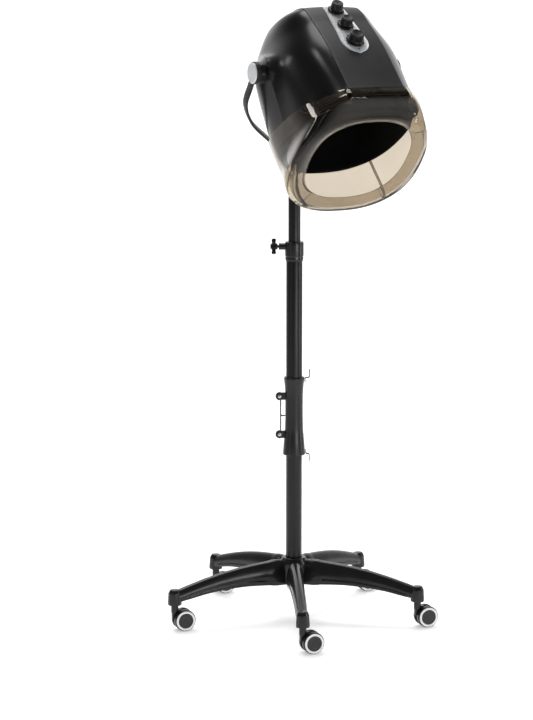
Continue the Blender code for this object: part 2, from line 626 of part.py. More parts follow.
def edge_reach(height, back):
    """Reach of the shells at the band's edge, at a height."""
    if height >= SHELL_BASE:
        return side_reach(blend_table(SHELL_PROFILE, height), BAND_HALF_WIDTH, back)
    low, high, reach = 0.0, 1.0, 0.0
    for _ in range(24):
        share = (low + high) / 2
        reach = side_reach(blend_table(VISOR_PROFILE, share), BAND_HALF_WIDTH, back)
        rim = -RIM_DEPTH + RIM_SLOPE * reach
        if (1 - share) * SHELL_BASE + share * rim > height:
            low = share
        else:
            high = share
    return reach


def band_frame(height, back=False, x=0.0):
    """Frame on the band's outer face, its Z axis square to the face."""
    step = 0.004
    outward = 1 if back else -1
    slope = (edge_reach(height + step, back) - edge_reach(height - step, back)) / (2 * step)
    bulge = -2 * BAND_CROWN * x / BAND_HALF_WIDTH ** 2
    square = outward * Vector((0, 1, slope)).normalized()
    lift = BAND_RAISE + BAND_CROWN * (1 - (x / BAND_HALF_WIDTH) ** 2)
    point = Vector((x, -edge_reach(height, back), height)) + square * lift
    return along((square - Vector((bulge, 0, 0))).normalized(), point)


def band_rows(heights, back=False):
    """Points and outward directions along the band's edge, seen from the side."""
    rows = []
    for height in heights:
        square = band_frame(height, back).col[2].to_3d()
        rows.append((Vector((0, -edge_reach(height, back), height)), square))
    return rows


def band_sheet(half, rows, near, far, columns=6):
    """Closed sheet along the rows, bulged like the band, between two offsets from its outer face."""
    places = [half * (2 * column / columns - 1) for column in range(columns + 1)]

    def skin(offset):
        return [[point + Vector((x, 0, 0)) + square * (
            offset + BAND_RAISE + BAND_CROWN * (1 - (x / BAND_HALF_WIDTH) ** 2)) for x in places]
            for point, square in rows]

    bm = bmesh.new()
    loops = [[bm.verts.new(point) for point in outer + inner[::-1]]
             for outer, inner in zip(skin(far), skin(near))]
    for first, second in zip(loops, loops[1:]):
        bridge(bm, first, second)
    last = 2 * columns + 1
    for loop in (loops[0], loops[-1]):
        for column in range(columns):
            bm.faces.new((loop[column], loop[column + 1], loop[last - column - 1], loop[last - column]))
    return bm


# ---------------------------------------------------------------- hood parts
def build_shells(hood):
    wide = 0.30
    for side, name in ((-1, "left"), (1, "right")):
        part = new_object(f"side_shell_{name}", hood_wall(SHELL_WALL), "gloss_black", hood)
        near, far = side * (BAND_HALF_WIDTH + GAP / 2), side * wide
        combine(part, box((min(near, far), -0.4, -0.4), (max(near, far), 0.4, 0.4)), "INTERSECT")
        combine(part, cylinder(BOLT_RADIUS + GAP, 0.14, 0.20, matrix=along((side, 0, 0)), segments=16),
                "DIFFERENCE")
    crest = max(height for height, half_width, *_ in SHELL_PROFILE if half_width > BAND_HALF_WIDTH)
    heights = [BAND_EDGE, SHELL_BASE] + [height for height in RING_HEIGHTS if height < crest] + [crest]
    rows = band_rows(heights) + band_rows(heights[::-1], True)
    band = new_object("centre_band", band_sheet(BAND_HALF_WIDTH - GAP / 2, rows, -SHELL_WALL, 0.0),
                      "satin_black", hood)
    for _, height, _, _, _ in KNOBS:
        combine(band, cylinder(0.0045, -0.02, 0.02, matrix=band_frame(height), segments=16), "DIFFERENCE")
    combine(band, cylinder(LENS_RADIUS + GAP, -0.02, 0.02, matrix=band_frame(LENS_HEIGHT), segments=12),
            "DIFFERENCE")
    window = box((-0.0465, 0.14, GRILLE_LOW - 0.0015), (0.0465, 0.30, GRILLE_HIGH + 0.0015))
    combine(band, window, "DIFFERENCE")
    combine(band, cylinder(0.0070, -0.02, 0.02, matrix=band_frame(-0.090, True, 0.045), segments=16),
            "DIFFERENCE")


def build_grille(hood):
    rows = band_rows([GRILLE_LOW, 0.012, GRILLE_HIGH], True)
    sheet = band_sheet(0.0450, rows, -SHELL_WALL, 0.0, 4)
    grille = new_object("rear_air_grille", sheet, "satin_black", hood)
    for slot in range(5):
        low = GRILLE_LOW + 0.0100 + slot * 0.0155
        combine(grille, box((-0.0370, 0.14, low), (0.0370, 0.30, low + 0.0080)), "DIFFERENCE")
    gland = turned([(0.0040, -0.0080), (0.0067, -0.0080), (0.0067, GAP), (0.0105, GAP), (0.0105, 0.0040),
                    (0.0075, 0.0160), (0.0040, 0.0160)], 16)
    new_object("cable_gland", gland, "matte_black", hood, matrix=band_frame(-0.090, True, 0.045))


def plate_outline():
    """Control plate seen from the front: straight sides, round lower end drawn out to a point."""
    centre = PLATE_TIP + PLATE_HALF_WIDTH * PLATE_POINT
    start = math.acos(1 / PLATE_POINT)
    points = [(0.0, PLATE_TIP)]
    for step in range(9):
        turn = start + (math.pi / 2 - start) * step / 8
        points.append((PLATE_HALF_WIDTH * math.sin(turn), centre - PLATE_HALF_WIDTH * math.cos(turn)))
    top_half = PLATE_HALF_WIDTH * PLATE_NARROWING
    points += [(top_half, PLATE_TOP - 0.006), (top_half - 0.005, PLATE_TOP)]
    return points + [(-x, z) for x, z in reversed(points[1:])]


def build_controls(hood):
    low, high = PLATE_TIP - 0.008, PLATE_TOP + 0.005
    heights = [low] + [height for height in RING_HEIGHTS if low < height < high] + [high]
    sheet = band_sheet(PLATE_HALF_WIDTH + 0.005, band_rows(heights), GAP, 0.0021)
    plate = new_object("control_plate", sheet, "silver_plastic", hood)
    combine(plate, prism(plate_outline(), 0.0, 0.40, along((0, -1, 0))), "INTERSECT")
    for _, height, _, _, _ in KNOBS:
        combine(plate, cylinder(0.0045, -0.02, 0.02, matrix=band_frame(height), segments=16), "DIFFERENCE")
    combine(plate, cylinder(LENS_RADIUS + GAP, -0.02, 0.02, matrix=band_frame(LENS_HEIGHT), segments=12),
            "DIFFERENCE")
    lens = [(0, -0.0040), (LENS_RADIUS, -0.0040), (LENS_RADIUS, 0.0030), (0.0018, 0.0040), (0, 0.0043)]
    new_object("indicator_lens", turned(lens, 12), "lens_blue", hood, matrix=band_frame(LENS_HEIGHT))
    for (name, height, skirt, cap, tall), body in zip(KNOBS, CONTROL_BODIES):
        frame = band_frame(height)
        low = 0.0036
        knob = [(0, -0.0120), (0.0030, -0.0120), (0.0030, low), (skirt, low), (skirt, low + 0.0020),
                (skirt - 0.0028, low + 0.0048), (cap, low + 0.0060), (cap - 0.0014, low + tall - 0.0030),
                (cap - 0.0040, low + tall), (0, low + tall - 0.0006)]
        new_object(name, turned(knob, 20), "gloss_black", hood, matrix=frame)
        case = [(0, -0.0140), (0.0034, -0.0140), (0.0034, -0.0075), (0.0150, -0.0075), (0.0150, -0.0260),
                (0, -0.0260)]
        new_object(body, turned(case, 16), "matte_black", hood, matrix=frame)


def build_drum(hood):
    """Air drum round the head: a bowl with an inlet ring in its crown."""
    def skin(shrink, drop):
        rings = []
        for place in (0.0, 0.20, 0.42, 0.62, 0.78, 0.89, 0.96, 1.0):
            height = DRUM_PROFILE[0][0] + place * (DRUM_PROFILE[-1][0] - DRUM_PROFILE[0][0])
            half_width, front, back = blend_table(DRUM_PROFILE, height)
            ring = []
            for turn in turns(32):
                x, reach = section_point(turn, (half_width - shrink, front - shrink, back - shrink), 1.0)
                lower = DRUM_EDGE_SLOPE * reach * (1 - place) ** 3
                ring.append(Vector((x, -reach, height + lower - drop * place)))
            rings.append(ring)
        return rings

    new_object("inner_drum", loft(list(reversed(skin(0.0, 0.0))) + skin(DRUM_WALL, DRUM_WALL), closed=True),
               "matte_black", hood)


def build_visor(hood):
    """Clear visor: an outer wall, a lip rolled in to the rim, and the inner wall back up."""
    outer_scale = 1 + VISOR_CLEAR + VISOR_WALL
    inner_scale = 1 + VISOR_CLEAR
    thick = 0.0030

    def rim_ring(share, lift, grow=0.0):
        ring = []
        for turn in turns(VISOR_SEGMENTS):
            outer = visor_point(turn, 1.0, outer_scale)
            x, reach = section_point(turn, tuple(value + grow for value in RIM_PROFILE), 1.0)
            inner = Vector((x, -reach, -RIM_DEPTH + RIM_SLOPE * reach))
            point = outer.lerp(inner, share)
            ring.append(point + Vector((0, 0, lift)))
        return ring

    rings = [[visor_point(turn, place, outer_scale) for turn in turns(VISOR_SEGMENTS)]
             for place in (0.0, 0.22, 0.45, 0.64, 0.80, 0.93)]
    rings += [rim_ring(0.14, -0.0045), rim_ring(0.55, -0.0045), rim_ring(1.0, 0.0040)]
    rings += [rim_ring(1.0, 0.0040 + thick, 0.0012), rim_ring(0.50, -0.0045 + thick)]
    rings += [[visor_point(turn, place, inner_scale) for turn in turns(VISOR_SEGMENTS)]
              for place in (0.90, 0.80, 0.64, 0.45, 0.22, 0.0)]
    new_object("visor", loft(rings, closed=True), "smoked_clear", hood)
    for side, name in ((-1, "left"), (1, "right")):
        turn_mid = math.radians(-39.0)
        rings = []
        for place in (0.52, 0.64, 0.72, 0.80):
            ring = []
            for wide, inset in ((-0.010, 0.006), (0.010, 0.006), (0.010, 0.018), (-0.010, 0.018)):
                point = visor_point(turn_mid + wide / 0.35, place, inner_scale - inset)
                ring.append(Vector((side * point.x, point.y, point.z)))
            rings.append(ring)
        new_object(f"visor_joint_{name}", loft(rings), "smoked_clear", hood)


# ---------------------------------------------------------------- air unit inside the hood
def build_air_unit(hood):
    motor = turned([(0, 0.0670), (0.0030, 0.0670), (0.0030, 0.1000), (0.0120, 0.1000), (0.0120, 0.1040),
                    (0.0330, 0.1040), (0.0340, 0.1060), (0.0340, 0.1420), (0.0300, 0.1460), (0, 0.1460)], 16)
    new_object("fan_motor", motor, "steel", hood)
    fan = new_object("fan_impeller", tube(0.0120, 0.0034, 0.0700, 0.0920, 16), "matte_black", hood)
    blades = 6
    for blade in range(blades):
        turn = Matrix.Rotation(2 * math.pi * blade / blades, 4, "Z")
        lean = turn @ Matrix.Translation((0.031, 0, 0.081)) @ Matrix.Rotation(math.radians(28), 4, "X")
        combine(fan, box((-0.0215, -0.0010, -0.0095), (0.0200, 0.0010, 0.0095), matrix=lean), "UNION")
    sheet = box((-0.0260, -0.0008, 0.0270), (0.0260, 0.0008, 0.0560))
    frame = new_object("heater_frame", sheet, "mica", hood)
    combine(frame, box((-0.0008, -0.0260, 0.0270), (0.0008, 0.0260, 0.0560)), "UNION")
    loops, steps, radius = 4, 12, 0.0290
    curve = bpy.data.curves.new("heater_coil", "CURVE")
    curve.dimensions = "3D"
    spline = curve.splines.new("POLY")
    spline.points.add(loops * steps)
    for index, point in enumerate(spline.points):
        angle = 2 * math.pi * index / steps
        height = 0.0300 + 0.0230 * index / (loops * steps)
        point.co = (radius * math.cos(angle), radius * math.sin(angle), height, 1)
    curve.bevel_depth = 0.0014
    curve.bevel_resolution = 0
    curve.use_fill_caps = True
    new_object("heater_coil", as_bmesh(bpy.data.objects.new("coil_path", curve)), "heating_wire", hood)


# ---------------------------------------------------------------- assembly
clear_scene()
PARTS = new_collection(OBJECT)
CUTTERS = new_collection("cutters")

star = build_base()
for caster_number in range(1, STAR_ARMS + 1):
    build_caster(caster_number, star)
build_column(star)
build_socket(star)
yoke_plane = build_yoke()
hood_pivot = new_empty("hood_pivot", Matrix.Translation((COLUMN_X, PIVOT_Y, PIVOT_Z))
                       @ Matrix.Rotation(-HOOD_TILT, 4, "X"))
build_pivots(yoke_plane, hood_pivot)
build_shells(hood_pivot)
build_grille(hood_pivot)
build_controls(hood_pivot)
build_drum(hood_pivot)
build_visor(hood_pivot)
build_air_unit(hood_pivot)
bpy.context.view_layer.update()
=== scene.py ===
"""Hood hair dryer on a rolling stand: surfaces, materials, stage, lights and camera round the frame."""
import json
from math import acos, copysign, cos, pi, radians, sin, sqrt

import bmesh
import bpy
from mathutils import Matrix, Vector


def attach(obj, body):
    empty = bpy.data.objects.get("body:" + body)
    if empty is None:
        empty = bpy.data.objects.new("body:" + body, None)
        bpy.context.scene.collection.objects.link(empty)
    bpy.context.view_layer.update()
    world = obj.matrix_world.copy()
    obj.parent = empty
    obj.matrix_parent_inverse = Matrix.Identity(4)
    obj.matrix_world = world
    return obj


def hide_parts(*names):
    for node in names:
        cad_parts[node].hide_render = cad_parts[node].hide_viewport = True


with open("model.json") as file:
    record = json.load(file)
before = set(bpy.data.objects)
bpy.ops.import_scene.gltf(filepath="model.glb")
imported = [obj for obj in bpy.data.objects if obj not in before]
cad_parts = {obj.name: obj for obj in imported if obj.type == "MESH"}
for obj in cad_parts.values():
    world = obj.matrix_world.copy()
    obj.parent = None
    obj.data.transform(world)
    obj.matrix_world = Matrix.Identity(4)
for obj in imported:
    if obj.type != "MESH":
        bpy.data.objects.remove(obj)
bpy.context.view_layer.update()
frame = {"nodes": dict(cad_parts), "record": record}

# ---- placing, the same as in the CAD
COLUMN = Vector((0.006, 0.067, 0.0))
HOOD_TILT = radians(25.7)
PIVOT = Vector((COLUMN.x, COLUMN.y - 0.185, 1.593))
HOOD = Matrix.Translation(PIVOT) @ Matrix.Rotation(-HOOD_TILT, 4, "X")
STAND = Matrix.Translation(COLUMN)
SLEEVE_ANGLE, LUG_REACH = radians(-26.0), 0.0415
SLEEVE = STAND @ Matrix.Rotation(SLEEVE_ANGLE, 4, "Z")
STAR_ARMS, STAR_ANGLE, STEM_CIRCLE = 5, radians(-112.8), 0.366
CASTER_TRAIL, CASTER_ANGLE = 0.0266, radians(-6.0)
WHEEL_RADIUS, WHEEL_INSET, WHEEL_WIDTH = 0.031, 0.007, 0.0165

# ---- hood surface tables: half width, reach to the front, reach to the back
SHELL_BASE, SHELL_TOP = -0.154, 0.1673
SHELL_PROFILE = [
    (-0.154, 0.169, 0.269, 0.2155),
    (-0.019, 0.1755, 0.211, 0.212),
    (0.077, 0.152, 0.162, 0.201),
    (0.135, 0.13, 0.126, 0.14),
    (0.1592, 0.09, 0.078, 0.078),
    (SHELL_TOP, 0.0, 0.0, 0.0),
]
VISOR_PROFILE = [
    (0.0, 0.169, 0.269, 0.2155),
    (0.45, 0.172, 0.279, 0.17),
    (0.88, 0.19, 0.243, 0.112),
    (1.0, 0.193, 0.229, 0.093),
]
RIM_PROFILE = (0.1475, 0.2107, 0.056)
RIM_DEPTH, RIM_SLOPE = 0.3287, 0.4321
SECTION_POWER = 2.42
SHELL_EDGE, BAND_EDGE, SHELL_WALL = -0.2, -0.18, 0.003
BAND_HALF, BAND_RAISE, BAND_CROWN = 0.0834, 0.0025, 0.0035
SHELL_SIDE = BAND_HALF + 0.00015  # the shells stop just beside the band
VISOR_INNER, VISOR_OUTER = 1.02, 1.031  # as shares of the shell's section
VISOR_FLAT, VISOR_BULGE, FLAT_END = 1.09, 0.85 * BAND_CROWN, 0.4
LIP = [  # share of the way from the visor's wall to the mouth, lift off the rim plane
    (0.055, -0.0022), (0.09, -0.0034), (0.15, -0.0041), (0.24, -0.0045), (0.4, -0.0044),
    (0.55, -0.0039), (0.72, -0.0021), (0.88, 0.0006), (0.97, 0.003), (1.0, 0.0046),
]
DRUM_PROFILE = [
    (-0.224, 0.164, 0.238, 0.164),
    (-0.15, 0.152, 0.222, 0.176),
    (-0.06, 0.144, 0.185, 0.175),
    (-0.005, 0.118, 0.145, 0.145),
    (0.018, 0.08, 0.09, 0.095),
    (0.02, 0.042, 0.042, 0.042),
]
DRUM_SLOPE, DRUM_WALL = 0.075, 0.0025
SIDE_PANEL = [  # height, depth of the raised panel's front edge, how far it is raised
    (-0.21, -0.048, 0.0018), (-0.1952, -0.043, 0.002), (-0.1529, -0.026, 0.0028),
    (-0.0972, -0.029, 0.006), (-0.0688, -0.031, 0.0085), (-0.0406, -0.035, 0.013),
    (-0.0106, -0.04, 0.019), (0.0231, -0.026, 0.019), (0.0624, 0.039, 0.007),
    (0.0836, 0.082, 0.0025), (0.12, 0.13, 0.0), (0.161, 0.15, 0.0),
]
FLARE = 0.048  # how far ahead of the panel's front edge the shell starts to rise
KNOBS = [  # name, height, skirt radius, cap radius
    ("timer_knob", 0.001, 0.0258, 0.02),
    ("temperature_knob", 0.06, 0.0232, 0.017),
    ("speed_knob", 0.1175, 0.0232, 0.0172),
]
PLATE_HALF, PLATE_TIP, PLATE_TOP = 0.04, -0.0395, 0.14
PLATE_POINT, PLATE_TAPER = 1.08, 0.28
LENS_HEIGHT = -0.027
GRILLE_LOW, GRILLE_HIGH = -0.029, 0.057
RIB_CENTRE = (0.086, -0.158)
GRAIN_DEPTH = 0.0004  # of the moulded and painted grain

BODY_OF = {node: body for body, nodes in frame["record"]["behaviour"]["bodies"].items() for node in nodes}


# ---- materials
def feed(tree, node, values):
    """Each input takes a plain value, or the output that feeds it."""
    for key, value in values.items():
        if isinstance(value, bpy.types.NodeSocket):
            tree.links.new(value, node.inputs[key])
        else:
            node.inputs[key].default_value = value


def add_node(tree, kind, output, values=(), **settings):
    """One output of a new node."""
    node = tree.nodes.new(f"ShaderNode{kind}")
    for name, setting in settings.items():
        setattr(node, name, setting)
    feed(tree, node, dict(values))
    return node.outputs[output]


def map_range(tree, value, before, after, curve="LINEAR"):
    """A value whose range before becomes the range after, held at both ends."""
    names = ("Value", "From Min", "From Max", "To Min", "To Max")
    values = zip(names, (value, *before, *after))
    return add_node(tree, "MapRange", "Result", values, interpolation_type=curve)


def distance_along(tree, place, direction):
    return add_node(tree, "VectorMath", "Value", {0: place, 1: direction}, operation="DOT_PRODUCT")


def surface(name, colour, rough, rough_spread, tint, grain, bump, patches,
            metallic=0.0, coat=0.0, transmission=0.0, ior=1.49, specular=0.5):
    """Plastic, paint or metal: patches of colour and roughness, and a moulded or painted fine grain."""
    mat = bpy.data.materials.new(name)
    mat.use_nodes = True
    tree = mat.node_tree
    place = add_node(tree, "TexCoord", "Object")
    patch = add_node(tree, "TexNoise", "Fac", {"Vector": place, "Scale": patches, "Detail": 4.0})
    tinted = add_node(tree, "ValToRGB", "Color", {"Fac": patch})
    for stop, position, factor in zip(tinted.node.color_ramp.elements, (0.35, 0.65), (1 - tint, 1 + tint)):
        stop.position = position
        stop.color = (*(min(part * factor, 1.0) for part in colour), 1)
    rough_range = (max(rough - rough_spread, 0.0), rough + rough_spread)
    values = {"Base Color": tinted, "Roughness": map_range(tree, patch, (0.3, 0.7), rough_range),
              "Metallic": metallic, "Coat Weight": coat, "Coat Roughness": 0.06,
              "Transmission Weight": transmission, "IOR": ior, "Specular IOR Level": specular}
    if bump:
        fine = add_node(tree, "TexNoise", "Fac", {"Vector": place, "Scale": grain, "Detail": 3.0})
        values["Normal"] = add_node(tree, "Bump", "Normal",
                                    {"Height": fine, "Strength": bump, "Distance": GRAIN_DEPTH})
    feed(tree, tree.nodes["Principled BSDF"], values)
    return mat


# name, colour, roughness and its spread, tint, scale and depth of the grain, scale of the patches
MATERIALS = {
    "nylon": surface("moulded_nylon", (0.012, 0.012, 0.013), 0.24, 0.02, 0.15, 1400, 0.012, 14,
                     specular=0.35),
    "paint": surface("painted_tube", (0.008, 0.008, 0.009), 0.3, 0.03, 0.12, 900, 0.02, 10, specular=0.3),
    "gloss": surface("gloss_shell", (0.0075, 0.0075, 0.0082), 0.22, 0.02, 0.15, 900, 0.008, 5, specular=0.32),
    "satin": surface("satin_band", (0.018, 0.018, 0.0195), 0.42, 0.04, 0.08, 1800, 0.04, 12, specular=0.32),
    "strap": surface("painted_strap", (0.022, 0.022, 0.024), 0.4, 0.05, 0.12, 1100, 0.08, 12, specular=0.35),
    "matte": surface("drum_plastic", (0.004, 0.004, 0.004), 0.62, 0.06, 0.2, 1600, 0.05, 12, specular=0.12),
    "tread": surface("wheel_tread", (0.011, 0.011, 0.012), 0.36, 0.06, 0.2, 900, 0.06, 25, specular=0.35),
    "disc": surface("wheel_disc", (0.026, 0.026, 0.028), 0.5, 0.06, 0.2, 1300, 0.1, 25, specular=0.35),
    "ring": surface("wheel_ring", (0.9, 0.9, 0.89), 0.38, 0.04, 0.02, 900, 0.03, 25),
    "knob": surface("knob_plastic", (0.006, 0.006, 0.0065), 0.25, 0.04, 0.2, 900, 0.03, 30, specular=0.4),
    "silver": surface("silver_plate", (0.74, 0.75, 0.77), 0.36, 0.05, 0.04, 1500, 0.03, 30, metallic=0.1),
    "cap": surface("cap_plastic", (0.84, 0.85, 0.87), 0.32, 0.05, 0.04, 900, 0.03, 30, metallic=0.1),
    "steel": surface("plated_steel", (0.5, 0.5, 0.51), 0.3, 0.08, 0.08, 1200, 0.05, 40, metallic=1.0),
    "lens": surface("blue_lens", (0.03, 0.18, 0.62), 0.12, 0.03, 0.1, 600, 0.01, 60, coat=0.5),
    "visor": surface("smoked_visor", (0.6, 0.53, 0.43), 0.015, 0.01, 0.04, 90, 0.0, 6, transmission=1.0,
                     ior=1.33),
    "joint": surface("smoked_joint", (0.055, 0.045, 0.035), 0.22, 0.04, 0.1, 300, 0.02, 20, coat=0.3),
    "mica": surface("mica_sheet", (0.52, 0.45, 0.34), 0.6, 0.08, 0.15, 500, 0.1, 60),
    "wire": surface("heating_wire", (0.42, 0.39, 0.37), 0.42, 0.08, 0.1, 900, 0.05, 60, metallic=1.0),
    "rib": surface("rib_plastic", (0.15, 0.15, 0.155), 0.4, 0.05, 0.1, 1100, 0.05, 30),
    "tick": surface("scale_print", (0.05, 0.05, 0.055), 0.45, 0.04, 0.1, 900, 0.02, 60),
}


def deepen_lip(mat, factor):
    """The visor's tint is deeper where the attribute lip is 1, on the thick rolled edge."""
    tree = mat.node_tree
    shader = tree.nodes["Principled BSDF"]
    tint = shader.inputs["Base Color"].links[0].from_socket
    lip = add_node(tree, "Attribute", "Fac", attribute_name="lip")
    deep = add_node(tree, "Mix", "Result", {"Factor": lip, "A": tint, "B": (*factor, 1.0)},
                    data_type="RGBA", blend_type="MULTIPLY")
    feed(tree, shader, {"Base Color": deep})


deepen_lip(MATERIALS["visor"], (0.8, 0.78, 0.74))


# ---- mesh helpers
def add_object(name, data):
    """A new object in the scene; a bmesh is used up for its mesh."""
    if isinstance(data, bmesh.types.BMesh):
        mesh = bpy.data.meshes.new(name)
        data.to_mesh(mesh)
        data.free()
        data = mesh
    item = bpy.data.objects.new(name, data)
    bpy.context.scene.collection.objects.link(item)
    return item


def make(name, bm, node, material, replaces=(), matrix=Matrix(), sharp=38.0):
    """A piece in world coordinates that rides on the body of a CAD node and hides the CAD nodes it replaces.
    """
    bm.transform(matrix)
    bmesh.ops.remove_doubles(bm, verts=bm.verts, dist=2e-6)
    bmesh.ops.recalc_face_normals(bm, faces=bm.faces)
    piece = add_object(name, bm)
    piece.data.shade_smooth()
    piece.data.set_sharp_from_angle(angle=radians(sharp))
    piece.data.materials.append(MATERIALS[material])
    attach(piece, BODY_OF[node])
    if replaces:
        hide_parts(*replaces)
    return piece


def skin(node, bm, material, matrix, sharp=38.0):
    """The finer mesh that stands for a whole CAD node."""
    return make(f"{node}_skin", bm, node, material, [node], matrix, sharp)


def along(axis, origin=(0, 0, 0)):
    """Matrix that turns Z to an axis, at an origin."""
    turn = Vector((0, 0, 1)).rotation_difference(Vector(axis)).to_matrix().to_4x4()
    return Matrix.Translation(origin) @ turn


def directions(points):
    """The way ahead at each point of a path."""
    return [after - before for before, after in zip(points[:1] + points[:-1], points[1:] + points[-1:])]


def soften(points, radius, steps=5, loop=False):
    """Rounds the corners of a profile of (radius, height) points."""
    result = []
    count = len(points)
    for index, point in enumerate(points):
        if not loop and index in (0, count - 1):
            result.append(tuple(point))
            continue
        here = Vector(point).to_2d()
        before = Vector(points[index - 1]).to_2d() - here
        after = Vector(points[(index + 1) % count]).to_2d() - here
        cut = min(radius, before.length * 0.45, after.length * 0.45)
        start, end = here + before.normalized() * cut, here + after.normalized() * cut
        for step in range(steps + 1):
            t = step / steps
            result.append(tuple(start.lerp(here, t).lerp(here.lerp(end, t), t)))
    return result


def bridge(bm, first, second):
    """Faces between two loops of vertices; a loop of one vertex is a tip."""
    count = max(len(first), len(second))
    for step in range(count):
        following = (step + 1) % count
        corners = [first[step % len(first)], first[following % len(first)],
                   second[following % len(second)], second[step % len(second)]]
        unique = [corner for index, corner in enumerate(corners) if corner not in corners[:index]]
        if len(unique) > 2:
            bm.faces.new(unique)


def loft(rings, closed=False, bm=None):
    """Solid through rings of points, in bm if it is given; closed joins the last ring to the first."""
    bm = bmesh.new() if bm is None else bm
    loops = [[bm.verts.new(point) for point in ring] for ring in rings]
    for first, second in zip(loops, loops[1:]):
        bridge(bm, first, second)
    if closed:
        bridge(bm, loops[-1], loops[0])
        return bm
    for loop in (loops[0], loops[-1]):
        if len(loop) > 2:
            bm.faces.new(loop)
    return bm


def lathe(points, steps=64, wave=None):
    """Solid of revolution round Z; wave(turn, radius, height) may change a point's radius."""
    rings = []
    for radius, height in points:
        if radius < 1e-6:
            rings.append([Vector((0, 0, height))])
            continue
        ring = []
        for step in range(steps):
            turn = 2 * pi * step / steps
            reach = radius + (wave(turn, radius, height) if wave else 0.0)
            ring.append(Vector((reach * cos(turn), reach * sin(turn), height)))
        rings.append(ring)
    return loft(rings, closed=points[0][0] > 1e-6)


def turned(points, rounding, corner_steps=4, steps=72, loop=False):
    """Solid of revolution whose profile has rounded corners."""
    return lathe(soften(points, rounding, corner_steps, loop), steps)


def tube(inner, outer, low, high, rounding, corner_steps=4, steps=72):
    """Tube, or a solid cylinder where inner is 0, with rounded edges."""
    profile = [(inner, low), (outer, low), (outer, high), (inner, high)]
    return turned(profile, rounding, corner_steps, steps, inner > 0)


def box(low, high, bevel=0.0, segments=3):
    bm = bmesh.new()
    size, centre = Vector(high) - Vector(low), (Vector(high) + Vector(low)) / 2
    bmesh.ops.create_cube(bm, size=1.0, matrix=Matrix.Translation(centre) @ Matrix.Diagonal((*size, 1)))
    if bevel:
        bmesh.ops.bevel(bm, geom=bm.edges[:], offset=bevel, segments=segments, affect="EDGES", profile=0.5)
    return bm


def boolean(first, second, operation="UNION"):
    """The first bmesh joined with or cut by the second; both are used up."""
    operands = []
    for bm in (first, second):
        bmesh.ops.recalc_face_normals(bm, faces=bm.faces)
        operands.append(add_object("operand", bm))
    modifier = operands[0].modifiers.new("combine", "BOOLEAN")
    modifier.operation, modifier.solver, modifier.object = operation, "EXACT", operands[1]
    bpy.context.view_layer.update()
    evaluated = operands[0].evaluated_get(bpy.context.evaluated_depsgraph_get())
    mesh = bpy.data.meshes.new_from_object(evaluated)
    bm = bmesh.new()
    bm.from_mesh(mesh)
    for operand in operands:
        bpy.data.objects.remove(operand, do_unlink=True)
    bpy.data.meshes.remove(mesh)
    return bm


def blend_table(table, place):
    """Values of a table at a place between its rows, on a curve that doesn't overshoot them."""
    places = [row[0] for row in table]
    place = min(max(place, places[0]), places[-1])
    index = max(i for i in range(len(places) - 1) if places[i] <= place)
    step = places[index + 1] - places[index]
    share = (place - places[index]) / step
    values = []
    for column in range(1, len(table[0])):
        slopes = [(after[column] - before[column]) / (after[0] - before[0])
                  for before, after in zip(table, table[1:])]
        slopes = [slopes[0], *slopes, slopes[-1]]
        leaving, arriving = [0.0 if before * after <= 0 else 2 * before * after / (before + after)
                             for before, after in zip(slopes[index:], slopes[index + 1:index + 3])]
        start, end = table[index][column], table[index + 1][column]
        values.append(start * (1 + 2 * share) * (1 - share) ** 2 + end * share ** 2 * (3 - 2 * share)
                      + step * share * (1 - share) * (leaving * (1 - share) - arriving * share))
    return values


def smooth_step(value):
    """Rises from 0 to 1 as the value does, with level ends."""
    value = min(max(value, 0.0), 1.0)
    return value * value * (3 - 2 * value)


# ---- hood surface
def section_point(turn, values, scale=1.0):
    """Point on a rounded section of the hood: across, and forward of the pivot."""
    half_width, front, back = values
    power = 2 / SECTION_POWER
    c, s = cos(turn), sin(turn)
    middle, half = (front - back) / 2, (front + back) / 2
    return (scale * half_width * copysign(abs(c) ** power, c),
            middle + scale * half * copysign(abs(s) ** power, s))


def side_reach(values, x, back):
    """How far forward a section's front or back is at a distance x from the middle plane."""
    half_width, front, rear = values
    rest = max(1 - (abs(x) / half_width) ** SECTION_POWER, 0.0)
    part = (front + rear) / 2 * rest ** (1 / SECTION_POWER)
    return (front - rear) / 2 + (-part if back else part)


def rim_height(reach):
    return -RIM_DEPTH + RIM_SLOPE * reach


def visor_point(turn, share, scale=1.0):
    """Point on the visor's wall: share 0 is the shell's edge and 1 the rim. It starts flat over the band."""
    values = blend_table(VISOR_PROFILE, share)
    x, reach = section_point(turn, values, scale)
    if abs(x) < VISOR_FLAT * BAND_HALF * scale:
        middle = (values[1] - values[2]) / 2
        back = reach < middle
        flat = middle + scale * (side_reach(values, BAND_HALF, back) - middle)
        bulge = VISOR_BULGE * (1 - (x / (BAND_HALF * scale)) ** 2)
        flat += -bulge if back else bulge
        rounding = max((share - FLAT_END) / (1 - FLAT_END), 0.0) ** 1.5
        reach += (flat - reach) * (1 - rounding)
    return Vector((x, -reach, (1 - share) * SHELL_BASE + share * rim_height(reach)))


def lip_point(turn, share, lift, grow=0.0):
    """Point on the rolled lip; grow widens the mouth."""
    outer = visor_point(turn, 1.0, VISOR_OUTER)
    x, reach = section_point(turn, [value + grow for value in RIM_PROFILE])
    return outer.lerp(Vector((x, -reach, rim_height(reach))), share) + Vector((0, 0, lift))


def shell_point(turn, height):
    x, reach = section_point(turn, blend_table(SHELL_PROFILE, height))
    return Vector((x, -reach, height))


def share_at(turn, height):
    """The share down the visor's wall at which it reaches a height."""
    low, high = 0.0, 1.0
    for _ in range(22):  # halvings
        middle = (low + high) / 2
        low, high = (middle, high) if visor_point(turn, middle).z > height else (low, middle)
    return low


